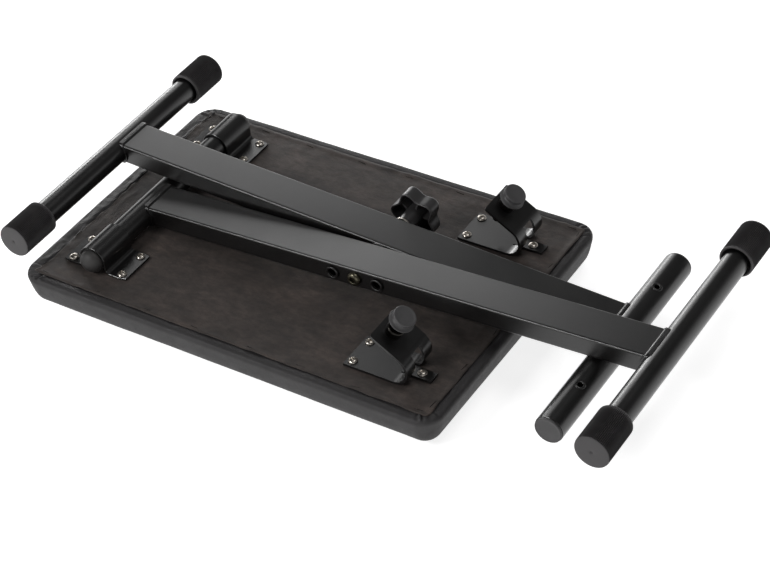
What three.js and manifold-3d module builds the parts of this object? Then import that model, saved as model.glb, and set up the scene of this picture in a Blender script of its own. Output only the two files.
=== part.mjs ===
// Folding keyboard bench, folded flat and lying upside down on its cushion.
//
// Millimetres, +Z up. X runs along the legs, Y across the bench, and the pivot bolt is at X = 0.
// The seat hinges on a round tube held by two saddle clamps, two crossed legs turn on one bolt,
// and a wider tube drops into two sheet-metal latches when the bench is open.
import * as THREE from 'three';
import { mergeVertices, toCreasedNormals } from 'three/addons/utils/BufferGeometryUtils.js';
import Module from 'manifold-3d';

const wasm = await Module();
wasm.setup();

// Clearance of every fit, how far a cutter runs past its work, and how close two points are one
const gap = 0.3;
const overrun = 2;
const sameSpot = 1e-3;

// Driving sizes of the seat, which lies with its underside up
const seat = {
  length: 471,
  width: 319,
  cornerRadius: 22,
  shiftY: -3,
  underside: 40,
  boardInset: 4,
  boardThickness: 12,
  lipThickness: 1.2,
  lipWidth: 10.5,
  coverThickness: 1.4,
};

// Where the frame meets the seat, measured in from the seat's ends and sides
const inset = {
  hingeFromEnd: 65.5,
  latchFromEnd: 61.5,
  hingeFromSide: 36,
  latchTubeFromSide: 34.5,
  footFromSide: 1,
  clampFromTubeEnd: 20.5,
  latchFromSide: 56.75,
  latchShiftY: -1.35,
};

// Driving sizes of the folding frame
const frame = {
  tubeRadius: 12.5,
  latchTubeRadius: 13.9,
  tubeWall: 1.5,
  legWidth: 41.5,
  legHeight: 21,
  legWall: 1.5,
  legCorner: 2.2,
  legGap: 2.4,
  legShiftY: -1.5,
  pivotToTube: 252.3,
  pivotToFoot: 312.5,
  foldTilt: 2.95,
  holePitch: 24.6,
};

const weld = { spread: 1.6, throat: 2.4 };

// Rubber foot caps with fine lengthwise ribs
const cap = {
  radius: 16.9,
  length: 44.5,
  wall: 4,
  ribs: 40,
  ribDepth: 0.55,
  plainRim: 2.6,
  chamfer: 1.3,
  dimpleRadius: 1.6,
  dimpleDepth: 0.9,
};

// Plugs in the open tube ends: domed ones in the hinge tube, flat ones in the latch tube
const plug = { edge: 0.5, rimThickness: 1.2, dome: 10, stem: 10, wall: 2, domeSteps: 4 };
const flatPlug = { edge: 0.5, thickness: 2.3, round: 0.9 };

// Vent holes in the latch tube, where the coating drains: their angle runs from +Z towards +X
const vent = { radius: 3.3, fromEnd: 50.5, angle: 13.5 };

// Saddle clamps round the hinge tube
const saddle = {
  thickness: 2,
  length: 42,
  flangeHalf: 37,
  bend: 5,
  screwX: 29.5,
  screwY: 15,
  corner: 2,
};

// Sheet-metal latches, each a hairpin with a tongue lanced out of its bend
const latch = {
  thickness: 2.5,
  width: 43,
  baseLength: 53.3,
  tongueLength: 31,
  tongueWidth: 12.4,
  slit: 1.55,
  windowArc: 135,
  armAngle: 31.7,
  armLength: 34.3,
  armCorner: 3,
  pinFromBend: 21,
  screwInset: 6.5,
  screwY: 14.5,
  tongueScrewInset: 12.5,
};

// Spring pull pins on the latches, the near one drawn out and held there
const pin = {
  radius: 3.5,
  reach: 24,
  tip: 1,
  barrelRadius: 8.6,
  barrelLength: 8,
  knobRadius: 12.4,
  knobLength: 12.4,
  socket: 8,
  drawn: { near: 7, far: 0 },
};

const screw = {
  headRadius: 4.6,
  headHeight: 2.8,
  shank: 2,
  length: 10,
  hole: 2.5,
  recessWidth: 1.2,
  recessLength: 5,
  recessDepth: 1.4,
};

// Pivot bolt, its washers and the star knob that clamps the legs
const bolt = {
  radius: 4,
  hole: 4.6,
  headRadius: 7,
  headHeight: 4.4,
  socketFlat: 5,
  socketDepth: 2.6,
  spacerRadius: 10.5,
  washerRadius: 10.5,
  washerThickness: 1.6,
  intoKnob: 16,
};

const knob = {
  radius: 25.4,
  lobes: 5,
  lobeDepth: 6,
  lobeSteps: 10,
  skirt: 16.5,
  shell: 2.4,
  hub: 8.8,
  hubReach: 16.3,
  bore: 19,
  rib: 1.8,
  round: 2.4,
};

// Profiles as shares of their piece's radius and height
const screwHeadShares = [[0, 0], [1, 0], [1, 0.35], [0.84, 0.78], [0.5, 1], [0, 1]];
const boltHeadShares = [[0, 1], [0.5, 1], [0.8, 0.8], [1, 0.3], [1, 0], [0, 0]];
const pullKnobShares = [
  [0, 0], [0.72, 0], [0.78, 0.2], [1, 0.28], [1, 0.4], [0.72, 0.52],
  [0.7, 0.66], [0.86, 0.74], [0.89, 0.9], [0.82, 1], [0, 1],
];

// Cushion rings: how far in as a share of the board's inset, how high as a share of the foam
const crownShares = [[20, 0], [14, 0.02], [7, 0.08], [3, 0.17], [1.3, 0.32], [0.4, 0.6], [0, 1]];

// Turned edge of the cushion: how far in and how far down, both as shares of the board's inset
const edgeShares = [[0.05, 1], [0.35, 0.3], [1, 0]];

// How much faster the corners round off towards the crown, and how far a rim's round is cut back
const cornerShare = 1.5;
const roundShare = 0.3;

// Facets per full turn or per arc, by how large the curve is
const turn = { fine: 32, medium: 20, small: 12, hole: 8 };
const arc = { seat: 7, plate: 6, leg: 2, saddle: 8, latch: 14 };

// Places worked out from the sizes above
const rad = THREE.MathUtils.degToRad;
const tilt = rad(frame.foldTilt);
const boardTop = seat.underside - seat.lipThickness;
const coverTop = boardTop + seat.coverThickness;
const hingeZ = coverTop + frame.tubeRadius + gap;
const hingeX = -frame.pivotToTube * Math.cos(tilt);
const pivotZ = hingeZ + frame.pivotToTube * Math.sin(tilt);
const seatX = hingeX - inset.hingeFromEnd + seat.length / 2;
const latchX = seatX + seat.length / 2 - inset.latchFromEnd;
const latchY = seat.shiftY + inset.latchShiftY;
const latchSpread = seat.width / 2 - inset.latchFromSide;
const hingeLength = seat.width - inset.hingeFromSide * 2;
const latchTubeLength = seat.width - inset.latchTubeFromSide * 2;
const footLength = seat.width - inset.footFromSide * 2;
const saddleSpread = hingeLength / 2 - inset.clampFromTubeEnd;
const legLength = frame.pivotToTube + frame.pivotToFoot;
const legPitch = frame.legWidth + frame.legGap;
const legY = { a: frame.legShiftY - legPitch / 2, b: frame.legShiftY + legPitch / 2 };
const sides = [['near', -1], ['far', 1]];

// Finishes read from the photo
const finish = {
  leatherette: { color: '#2a2829', roughness: 0.5, metalness: 0 },
  dustCover: { color: '#2b2725', roughness: 0.95, metalness: 0 },
  plywood: { color: '#8b6b48', roughness: 0.8, metalness: 0 },
  powderCoat: { color: '#262525', roughness: 0.38, metalness: 0.1 },
  zinc: { color: '#c3bfb9', roughness: 0.3, metalness: 0.9 },
  rubber: { color: '#232223', roughness: 0.75, metalness: 0 },
  plastic: { color: '#302f30', roughness: 0.42, metalness: 0 },
};

// Boolean helpers: three.js geometry in, manifold out, and back again
function solid(geometry) {
  const bare = geometry.clone();
  bare.deleteAttribute('normal');
  bare.deleteAttribute('uv');
  const merged = mergeVertices(bare, sameSpot);
  const mesh = new wasm.Mesh({
    numProp: 3,
    vertProperties: new Float32Array(merged.attributes.position.array),
    triVerts: new Uint32Array(merged.index.array),
  });
  return new wasm.Manifold(mesh);
}

function shapeOf(body) {
  const mesh = body.getMesh();
  const geometry = new THREE.BufferGeometry();
  geometry.setAttribute('position', new THREE.BufferAttribute(new Float32Array(mesh.vertProperties), 3));
  geometry.setIndex(new THREE.BufferAttribute(new Uint32Array(mesh.triVerts), 1));
  return toCreasedNormals(geometry, rad(30));
}

function part(name, body, look) {
  const geometry = body.isBufferGeometry ? body : shapeOf(body);
  const mesh = new THREE.Mesh(geometry, new THREE.MeshStandardMaterial(finish[look]));
  mesh.name = name;
  return mesh;
}

// A path's points with doubled ones left out
const distinct = (points) => points.filter((p, i, all) => !i || p.distanceTo(all[i - 1]) > sameSpot);

// Outline of a rectangle with round corners, centred on the origin
function roundedRectangle(length, width, radius) {
  const [x, y] = [length / 2, width / 2];
  const shape = new THREE.Shape();
  shape.moveTo(x - radius, -y);
  shape.absarc(x - radius, -y + radius, radius, -Math.PI / 2, 0);
  shape.absarc(x - radius, y - radius, radius, 0, Math.PI / 2);
  shape.absarc(-x + radius, y - radius, radius, Math.PI / 2, Math.PI);
  shape.absarc(-x + radius, -y + radius, radius, Math.PI, Math.PI * 1.5);
  shape.closePath();
  return shape;
}

// A flat plate between two heights
function plate(shape, from, to, curveSegments = arc.plate) {
  const geometry = new THREE.ExtrudeGeometry(shape, { depth: to - from, bevelEnabled: false, curveSegments });
  return geometry.translate(0, 0, from);
}

function box(from, to) {
  const size = to.clone().sub(from);
  const centre = to.clone().add(from).multiplyScalar(0.5);
  return new THREE.BoxGeometry(size.x, size.y, size.z).translate(centre.x, centre.y, centre.z);
}

// A turned piece from [radius, height] points, standing along Z
function turned(profile, segments) {
  const points = profile.map(([radius, height]) => new THREE.Vector2(radius, height));
  return new THREE.LatheGeometry(points, segments).rotateX(Math.PI / 2);
}

const scaled = (shares, radius, height) => shares.map(([r, h]) => [r * radius, h * height]);

function rod(radius, from, to, segments) {
  return turned([[0, from], [radius, from], [radius, to], [0, to]], segments);
}

function tube(radius, wall, from, to, segments) {
  const bore = rod(radius - wall, from - overrun, to + overrun, segments);
  return solid(rod(radius, from, to, segments)).subtract(solid(bore));
}

// Turns what stands along Z so that it lies along Y, its top end at +Y
const layAlongY = (geometry) => geometry.rotateX(-Math.PI / 2);

// A strip of sheet metal bent along a path in X and Z, with its width along Y
function bentStrip(path, thickness, width, curveSegments) {
  const points = distinct(path.getPoints(curveSegments));
  const side = points.map((p, i) => {
    const before = points[Math.max(i - 1, 0)];
    const after = points[Math.min(i + 1, points.length - 1)];
    const [into, out] = [p.clone().sub(before).normalize(), after.clone().sub(p).normalize()];
    const along = into.clone().add(out).normalize();
    const stretch = into.length() && out.length() ? along.dot(out) : 1;
    return new THREE.Vector2(-along.y, along.x).multiplyScalar(thickness / 2 / stretch);
  });
  const upper = points.map((p, i) => p.clone().add(side[i]));
  const lower = points.map((p, i) => p.clone().sub(side[i])).reverse();
  const strip = new THREE.ExtrudeGeometry(new THREE.Shape([...lower, ...upper].reverse()), {
    depth: width,
    bevelEnabled: false,
  });
  return strip.translate(0, 0, -width / 2).rotateX(Math.PI / 2);
}

// Rings of equal count joined into one closed skin, with a fan over each end
function loft(rings) {
  const count = rings[0].length;
  const middle = (ring) => ring.reduce((sum, p) => sum.add(p), new THREE.Vector3()).divideScalar(count);
  const points = [middle(rings[0]), ...rings.flat(), middle(rings[rings.length - 1])];
  const index = [];
  const at = (ring, i) => 1 + ring * count + (i % count);
  for (let i = 0; i < count; i += 1) {
    index.push(0, at(0, i + 1), at(0, i));
    index.push(points.length - 1, at(rings.length - 1, i), at(rings.length - 1, i + 1));
    for (let ring = 0; ring < rings.length - 1; ring += 1) {
      index.push(at(ring, i), at(ring, i + 1), at(ring + 1, i + 1));
      index.push(at(ring, i), at(ring + 1, i + 1), at(ring + 1, i));
    }
  }
  const geometry = new THREE.BufferGeometry().setFromPoints(points);
  geometry.setIndex(index);
  geometry.computeVertexNormals();
  return geometry;
}

// One ring round the seat, pulled in from its outline and set at a height
function seatRing(pulledIn, height) {
  const [x, y] = [seat.length / 2 - pulledIn, seat.width / 2 - pulledIn];
  const radius = seat.cornerRadius - pulledIn + Math.max(pulledIn - seat.lipWidth, 0) * cornerShare;
  const ring = distinct(roundedRectangle(x * 2, y * 2, Math.min(radius, y - gap)).getPoints(arc.seat));
  if (ring[0].distanceTo(ring[ring.length - 1]) < sameSpot) ring.pop();
  return ring.map((p) => new THREE.Vector3(p.x, p.y, height));
}

// Cushion: foam and leatherette with a crown, drawn-in sides and a lip turned under the board
function cushion() {
  const foam = boardTop - seat.boardThickness;
  const pocketEdge = seat.boardInset - gap;
  const crown = scaled(crownShares, seat.boardInset, foam);
  const edge = scaled(edgeShares, seat.boardInset, seat.boardInset);
  const rings = [
    ...crown,
    ...edge.map(([pulledIn, down]) => [pulledIn, seat.underside - down]),
    [seat.lipWidth, seat.underside],
    [seat.lipWidth, boardTop],
    [pocketEdge, boardTop],
    [pocketEdge, foam],
  ];
  return loft(rings.map(([pulledIn, height]) => seatRing(pulledIn, height)));
}

// Screw holes seen from the middle of a clamp or of a latch's tube seat
const saddleHoles = [[-1, -1], [-1, 1], [1, -1], [1, 1]].map(([i, j]) => ({
  x: i * saddle.screwX,
  y: j * saddle.screwY,
}));

const latchHoles = [
  { x: latch.screwInset - latch.baseLength, y: -latch.screwY },
  { x: latch.screwInset - latch.baseLength, y: latch.screwY },
  { x: latch.tongueLength - latch.tongueScrewInset, y: 0 },
];

// Screw places in the seat: four to a saddle clamp and three to a latch
const placed = (holes, x, y, z) => holes.map((hole) => ({ x: x + hole.x, y: y + hole.y, z }));

const saddleScrews = sides.flatMap(([, side]) => (
  placed(saddleHoles, hingeX, side * saddleSpread, coverTop + saddle.thickness)
));

const latchScrews = sides.flatMap(([, side]) => (
  placed(latchHoles, latchX, latchY + side * latchSpread, coverTop + latch.thickness)
));

const allScrews = [...saddleScrews, ...latchScrews];

function drilled(body, places, from, to) {
  return places.reduce((left, { x, y }) => {
    const drill = rod(screw.hole, from, to, turn.hole).translate(x, y, 0);
    return left.subtract(solid(drill));
  }, body);
}

// A layer of the seat between two heights, pulled in from the seat's outline
function seatLayer(pulledIn, from, to) {
  const [length, width] = [seat.length - pulledIn * 2, seat.width - pulledIn * 2];
  const outline = roundedRectangle(length, width, seat.cornerRadius - pulledIn);
  return solid(plate(outline, from, to).translate(seatX, seat.shiftY, 0));
}

function board() {
  const body = seatLayer(seat.boardInset, boardTop - seat.boardThickness, boardTop);
  return drilled(body, allScrews, coverTop - screw.length, coverTop);
}

function dustCover() {
  const body = seatLayer(seat.lipWidth + gap, boardTop, coverTop);
  return drilled(body, allScrews, boardTop - overrun, coverTop + overrun);
}

// Pan-head screw with a cross recess, its seat at height zero
function panScrew() {
  const head = turned(scaled(screwHeadShares, screw.headRadius, screw.headHeight), turn.small);
  const shank = turned([
    [0, -screw.length],
    [screw.shank, -screw.length + screw.shank],
    [screw.shank, screw.recessDepth / 2],
    [0, screw.recessDepth / 2],
  ], turn.hole);
  const slot = new THREE.BoxGeometry(screw.recessLength, screw.recessWidth, screw.recessDepth * 2)
    .translate(0, 0, screw.headHeight);
  const cross = solid(slot).add(solid(slot.clone().rotateZ(Math.PI / 2)));
  return solid(head).add(solid(shank)).subtract(cross);
}

// Saddle clamp: a strap over the hinge tube with a flange each side
function saddleClamp() {
  const mid = saddle.thickness / 2;
  const reach = frame.tubeRadius + gap + mid;
  const foot = reach + saddle.bend;
  const path = new THREE.Path();
  path.moveTo(-saddle.flangeHalf, mid);
  path.lineTo(-foot, mid);
  path.absarc(-foot, mid + saddle.bend, saddle.bend, -Math.PI / 2, 0);
  path.absarc(0, frame.tubeRadius + gap, reach, Math.PI, 0, true);
  path.absarc(foot, mid + saddle.bend, saddle.bend, Math.PI, Math.PI * 1.5);
  path.lineTo(saddle.flangeHalf, mid);
  const strap = solid(bentStrip(path, saddle.thickness, saddle.length, arc.saddle));
  const outline = roundedRectangle(saddle.flangeHalf * 2, saddle.length, saddle.corner);
  const body = strap.intersect(solid(plate(outline, -overrun, reach * 3)));
  return drilled(body, saddleHoles, -overrun, saddle.thickness + overrun);
}

// Latch places, seen from the middle of its own tube seat
const latchMid = latch.thickness / 2;
const latchRadius = frame.latchTubeRadius + gap + latchMid;
const latchSeatZ = latch.thickness + frame.latchTubeRadius + gap;
const armTilt = rad(latch.armAngle);
const armNormal = new THREE.Vector3(Math.sin(armTilt), 0, Math.cos(armTilt));
const armAlong = new THREE.Vector3(-Math.cos(armTilt), 0, Math.sin(armTilt));
const armFoot = new THREE.Vector3(0, 0, latchSeatZ).addScaledVector(armNormal, latchRadius);
const armEnd = armFoot.clone().addScaledVector(armAlong, latch.armLength);
const pinFoot = armFoot.clone().addScaledVector(armAlong, latch.pinFromBend);

// Moves what was built flat at the origin onto the tilted arm
const ontoArm = (geometry, place) => geometry.rotateY(armTilt).translate(place.x, 0, place.z);

// What is cut off the arm's free end to round its two corners
function armCorners() {
  const deep = latch.thickness * 2;
  const reach = latch.armCorner * 2;
  const round = roundedRectangle(reach * 2, latch.width, latch.armCorner);
  const block = box(
    new THREE.Vector3(-overrun, -latch.width, -deep),
    new THREE.Vector3(latch.armCorner, latch.width, deep),
  );
  const kept = plate(round, -deep - overrun, deep + overrun).translate(reach, 0, 0);
  return solid(ontoArm(block, armEnd)).subtract(solid(ontoArm(kept, armEnd)));
}

// Latch: base, bend and rising arm in one strip, with the tongue left flat below the window
function latchBracket() {
  const path = new THREE.Path();
  path.moveTo(-latch.baseLength, latchMid);
  path.lineTo(0, latchMid);
  path.absarc(0, latchSeatZ, latchRadius, -Math.PI / 2, Math.PI / 2 - armTilt);
  path.lineTo(armEnd.x, armEnd.z);
  const strip = solid(bentStrip(path, latch.thickness, latch.width, arc.latch)).subtract(armCorners());
  const windowTop = latchSeatZ + latchRadius * Math.sin(rad(latch.windowArc) - Math.PI / 2);
  const windowHalf = latch.tongueWidth / 2 + latch.slit;
  const window = box(
    new THREE.Vector3(0, -windowHalf, -overrun),
    new THREE.Vector3(latchRadius + latch.thickness, windowHalf, windowTop),
  );
  const tongue = box(
    new THREE.Vector3(-latch.thickness, -latch.tongueWidth / 2, 0),
    new THREE.Vector3(latch.tongueLength, latch.tongueWidth / 2, latch.thickness),
  );
  const pinHole = ontoArm(rod(pin.radius + gap, -latch.thickness, latch.thickness, turn.medium), pinFoot);
  const body = strip.subtract(solid(window)).add(solid(tongue)).subtract(solid(pinHole));
  return drilled(body, latchHoles, -overrun, latch.thickness + overrun);
}

// Spring pull pin along its own axis, with the latch arm's middle at height zero
const barrelTop = latchMid + pin.barrelLength;
const pullFoot = barrelTop + gap;

function pinBarrel() {
  const barrel = turned([
    [0, latchMid],
    [pin.barrelRadius, latchMid],
    [pin.barrelRadius, barrelTop - pin.tip],
    [pin.barrelRadius - pin.tip, barrelTop],
    [0, barrelTop],
  ], turn.medium);
  const bore = rod(pin.radius + gap, latchMid - overrun, barrelTop + overrun, turn.medium);
  return solid(barrel).subtract(solid(bore));
}

function pinRod() {
  const top = pullFoot + pin.socket - gap;
  return turned([
    [0, -pin.reach],
    [pin.radius - pin.tip, -pin.reach],
    [pin.radius, -pin.reach + pin.tip],
    [pin.radius, top],
    [0, top],
  ], turn.medium);
}

function pullKnob() {
  const spool = turned(scaled(pullKnobShares, pin.knobRadius, pin.knobLength), turn.medium);
  const socket = rod(pin.radius + gap, -overrun, pin.socket, turn.medium);
  return solid(spool.translate(0, 0, pullFoot)).subtract(solid(socket.translate(0, 0, pullFoot)));
}

// Rubber foot cap along Z: mouth at zero, closed face at its length
function footCap() {
  const steps = cap.ribs * 2;
  const ring = (radius, height, ribbed) => Array.from({ length: steps }, (_, i) => {
    const angle = (Math.PI * 2 * i) / steps;
    const r = radius - (ribbed && i % 2 ? cap.ribDepth : 0);
    return new THREE.Vector3(r * Math.cos(angle), r * Math.sin(angle), height);
  });
  const smooth = cap.radius - cap.ribDepth;
  const body = solid(loft([
    ring(smooth, 0, false),
    ring(cap.radius, cap.plainRim, true),
    ring(cap.radius, cap.length - cap.plainRim, true),
    ring(smooth, cap.length - cap.chamfer, false),
    ring(smooth - cap.chamfer, cap.length, false),
  ]));
  const bore = rod(frame.tubeRadius + gap, -overrun, cap.length - cap.wall, turn.fine);
  const dimple = rod(cap.dimpleRadius, cap.length - cap.dimpleDepth, cap.length + overrun, turn.hole);
  return body.subtract(solid(bore)).subtract(solid(dimple));
}

// What every plug has below its rim: a hollow stem that is pressed into a tube's bore
function plugStem(tubeRadius) {
  const stem = tubeRadius - frame.tubeWall - gap;
  return [
    [0, -plug.wall],
    [stem - plug.wall, -plug.wall],
    [stem - plug.wall, -plug.stem],
    [stem, -plug.stem],
    [stem, 0],
  ];
}

// Domed plug along Z for the hinge tube, its rim seated at height zero
function domedPlug() {
  const rim = frame.tubeRadius - plug.edge;
  const dome = Array.from({ length: plug.domeSteps + 1 }, (_, i) => {
    const angle = (Math.PI / 2) * (i / plug.domeSteps);
    const radius = i === plug.domeSteps ? 0 : rim * Math.cos(angle);
    return [radius, plug.rimThickness + plug.dome * Math.sin(angle)];
  });
  return turned([...plugStem(frame.tubeRadius), [rim, 0], ...dome], turn.medium);
}

// Flat plug along Z for the latch tube, its rim seated at height zero
function levelPlug() {
  const { thickness: top, round } = flatPlug;
  const rim = frame.latchTubeRadius - flatPlug.edge;
  return turned([
    ...plugStem(frame.latchTubeRadius),
    [rim, 0],
    [rim, top - round],
    [rim - round * roundShare, top - round * roundShare],
    [rim - round, top],
    [0, top],
  ], turn.medium);
}

// Leg of rectangular tube along X from zero, coped and welded onto a round tube at each end
function legTube(pivotAt, endRadii) {
  const alongX = (spread, past) => {
    const [wide, high] = [frame.legWidth + spread * 2, frame.legHeight + spread * 2];
    const section = roundedRectangle(high, wide, frame.legCorner + spread);
    return solid(plate(section, -past, legLength + past, arc.leg).rotateY(Math.PI / 2));
  };
  const endTubes = (larger) => endRadii.map((radius, i) => {
    const round = rod(radius + larger, -frame.legWidth, frame.legWidth, turn.medium);
    return solid(layAlongY(round).translate(i * legLength, 0, 0));
  });
  const [beadStart, beadEnd] = endTubes(weld.throat);
  const beads = alongX(weld.spread, 0).intersect(beadStart.add(beadEnd));
  const [copeStart, copeEnd] = endTubes(gap);
  let body = alongX(0, 0).add(beads).subtract(alongX(-frame.legWall, overrun));
  body = body.subtract(copeStart).subtract(copeEnd);
  for (const step of [-1, 0, 1]) {
    const hole = layAlongY(rod(bolt.hole, -frame.legWidth, frame.legWidth, turn.small));
    body = body.subtract(solid(hole.translate(pivotAt + step * frame.holePitch, 0, 0)));
  }
  return body;
}

function roundTubeAlongY(radius, length) {
  const body = tube(radius, frame.tubeWall, -length / 2, length / 2, turn.fine);
  return solid(layAlongY(shapeOf(body)));
}

// The latch tube has a vent hole in its upper side near each end
function ventedTube(radius, length) {
  return sides.reduce((left, [, side]) => {
    const drill = rod(vent.radius, 0, radius + overrun, turn.small).rotateY(rad(vent.angle));
    return left.subtract(solid(drill.translate(0, side * (length / 2 - vent.fromEnd), 0)));
  }, roundTubeAlongY(radius, length));
}

// Bolt along Z through both legs: under-head face at zero, thread upwards
const stackHeight = frame.legWidth * 2 + frame.legGap;
const knobFoot = stackHeight + bolt.washerThickness + gap * 2;

function pivotBolt() {
  const head = turned(scaled(boltHeadShares, bolt.headRadius, -bolt.headHeight), turn.medium);
  const shank = rod(bolt.radius, -bolt.socketDepth / 2, knobFoot + bolt.intoKnob, turn.medium);
  const across = bolt.socketFlat / Math.sqrt(3);
  const socket = new THREE.CylinderGeometry(across, across, bolt.socketDepth * 2, 6)
    .rotateX(Math.PI / 2)
    .translate(0, 0, -bolt.headHeight);
  return solid(head).add(solid(shank)).subtract(solid(socket));
}

function washer(radius) {
  const rim = rod(radius, 0, bolt.washerThickness, turn.medium);
  const hole = rod(bolt.hole, -overrun, bolt.washerThickness + overrun, turn.medium);
  return solid(rim).subtract(solid(hole));
}

// Star knob along Z: a long hub with a hollow lobed shell and radial ribs at its far end
function starOutline(radius) {
  const steps = knob.lobes * knob.lobeSteps;
  return Array.from({ length: steps }, (_, i) => {
    const angle = (Math.PI * 2 * i) / steps;
    const wave = (1 - Math.cos(knob.lobes * angle)) / 2;
    const r = radius - knob.lobeDepth * (1 - wave);
    return new THREE.Vector2(r * Math.cos(angle), r * Math.sin(angle));
  });
}

function starKnob() {
  const { radius, round, shell, hubReach: rim } = knob;
  const top = rim + knob.skirt;
  const ring = (pulledIn, z) => starOutline(radius - pulledIn).map((p) => new THREE.Vector3(p.x, p.y, z));
  const outer = solid(loft([
    ring(0, rim),
    ring(0, top - round),
    ring(round * roundShare, top - round * roundShare),
    ring(round, top),
  ]));
  const hollow = solid(plate(new THREE.Shape(starOutline(radius - shell)), rim - overrun, top - shell));
  const hub = solid(rod(knob.hub, 0, top - shell / 2, turn.medium));
  const bore = solid(rod(bolt.radius + gap, -overrun, knob.bore, turn.medium));
  let body = outer.subtract(hollow).add(hub);
  for (let i = 0; i < knob.lobes; i += 1) {
    const rib = box(
      new THREE.Vector3(knob.hub / 2, -knob.rib / 2, rim + round),
      new THREE.Vector3(radius - knob.lobeDepth - shell / 2, knob.rib / 2, top - shell / 2),
    ).rotateZ((Math.PI * 2 * i) / knob.lobes);
    body = body.add(solid(rib));
  }
  return body.subtract(bore);
}

// Places a group and puts named meshes in it
function groupAt(name, position, rotationY, children) {
  const group = new THREE.Group();
  group.name = name;
  group.position.copy(position);
  group.rotation.y = rotationY;
  group.add(...children);
  return group;
}

// Lays a Z-built mesh along Y at a distance from the middle, facing outwards
function facing(mesh, side, distance) {
  mesh.rotation.x = side > 0 ? -Math.PI / 2 : Math.PI / 2;
  mesh.position.y = side * distance;
  return mesh;
}

const bench = new THREE.Group();
bench.name = 'folding_keyboard_bench';

const cushionMesh = part('seat_cushion', cushion(), 'leatherette');
cushionMesh.position.set(seatX, seat.shiftY, 0);
bench.add(cushionMesh);
bench.add(part('seat_board', board(), 'plywood'));
bench.add(part('dust_cover', dustCover(), 'dustCover'));

// Hinge side: clamps and their screws
for (const [label, side] of sides) {
  const clamp = part(`saddle_clamp_${label}`, saddleClamp(), 'powderCoat');
  clamp.position.set(hingeX, side * saddleSpread, coverTop);
  bench.add(clamp);
}

const screwSets = [['saddle_screw', saddleScrews], ['latch_screw', latchScrews]];
for (const [label, places] of screwSets) {
  places.forEach((place, i) => {
    const mesh = part(`${label}_${i + 1}`, panScrew(), 'zinc');
    mesh.position.set(place.x, place.y, place.z);
    bench.add(mesh);
  });
}

// Latch side: brackets, barrels and pull pins
for (const [label, side] of sides) {
  const place = new THREE.Vector3(latchX, latchY + side * latchSpread, coverTop);
  const bracket = part(`latch_bracket_${label}`, latchBracket(), 'powderCoat');
  const barrel = part(`pin_barrel_${label}`, pinBarrel(), 'zinc');
  const moving = [part(`pin_rod_${label}`, pinRod(), 'zinc'), part(`pull_knob_${label}`, pullKnob(), 'plastic')];
  for (const mesh of moving) mesh.position.z = pin.drawn[label];
  const pullPin = groupAt(`pull_pin_${label}`, pinFoot, armTilt, [barrel, ...moving]);
  bench.add(groupAt(`latch_${label}`, place, 0, [bracket, pullPin]));
}

// A round tube across the frame with its two end pieces
function crossTube(name, body, centre, end) {
  const children = [part(name, body, 'powderCoat')];
  for (const [label, side] of sides) {
    children.push(facing(part(`${end.name}_${label}`, end.make(), end.look), side, end.at));
  }
  return groupAt(`${name}_group`, centre, 0, children);
}

const capMouth = footLength / 2 + cap.wall - cap.length + gap;
const ends = {
  plug: { name: 'hinge_plug', make: domedPlug, look: 'plastic', at: hingeLength / 2 },
  latchPlug: { name: 'latch_plug', make: levelPlug, look: 'plastic', at: latchTubeLength / 2 },
  capA: { name: 'foot_cap_a', make: footCap, look: 'rubber', at: capMouth },
  capB: { name: 'foot_cap_b', make: footCap, look: 'rubber', at: capMouth },
};
const along = (distance) => new THREE.Vector3(distance, 0, 0);
const hingeTube = roundTubeAlongY(frame.tubeRadius, hingeLength);
const latchTube = ventedTube(frame.latchTubeRadius, latchTubeLength);
const footTube = () => roundTubeAlongY(frame.tubeRadius, footLength);

// Leg A hinges in the clamps and carries a foot at +X
const legEndsA = [frame.tubeRadius, frame.tubeRadius];
const legA = part('leg_a', legTube(frame.pivotToTube, legEndsA), 'powderCoat');
legA.position.y = legY.a;
bench.add(groupAt('leg_a_frame', new THREE.Vector3(hingeX, 0, hingeZ), -tilt, [
  legA,
  crossTube('hinge_tube', hingeTube, along(0), ends.plug),
  crossTube('foot_tube_a', footTube(), along(legLength), ends.capA),
]));

// Leg B carries the latch tube at +X and the other foot at -X
const legEndsB = [frame.tubeRadius, frame.latchTubeRadius];
const legB = part('leg_b', legTube(frame.pivotToFoot, legEndsB), 'powderCoat');
legB.position.set(-frame.pivotToFoot, legY.b, 0);
const latchGroup = crossTube('latch_tube', latchTube, along(frame.pivotToTube), ends.latchPlug);
latchGroup.position.y = seat.shiftY;
bench.add(groupAt('leg_b_frame', new THREE.Vector3(0, 0, pivotZ), tilt, [
  legB,
  latchGroup,
  crossTube('foot_tube_b', footTube(), along(-frame.pivotToFoot), ends.capB),
]));

// Pivot stack along +Y: bolt head, leg A, spacer, leg B, washer, star knob
const stackFoot = frame.legShiftY - stackHeight / 2;
const spacerAt = (frame.legGap - bolt.washerThickness) / 2;
const stack = [
  ['pivot_bolt', pivotBolt(), 'zinc', 0],
  ['leg_spacer', washer(bolt.spacerRadius), 'plastic', frame.legWidth + spacerAt],
  ['knob_washer', washer(bolt.washerRadius), 'zinc', stackHeight + gap],
  ['star_knob', starKnob(), 'plastic', knobFoot],
];
for (const [name, body, look, height] of stack) {
  const mesh = part(name, body, look);
  mesh.rotation.x = -Math.PI / 2;
  mesh.position.set(0, stackFoot + height, pivotZ);
  bench.add(mesh);
}

bench.updateMatrixWorld(true);
const size = new THREE.Box3().setFromObject(bench).getSize(new THREE.Vector3());
let meshes = 0;
bench.traverse((node) => {
  if (node.isMesh) meshes += 1;
});
console.log(`pieces ${meshes}, size ${size.toArray().map((v) => v.toFixed(1)).join(' x ')} mm`);

export default bench;
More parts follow.
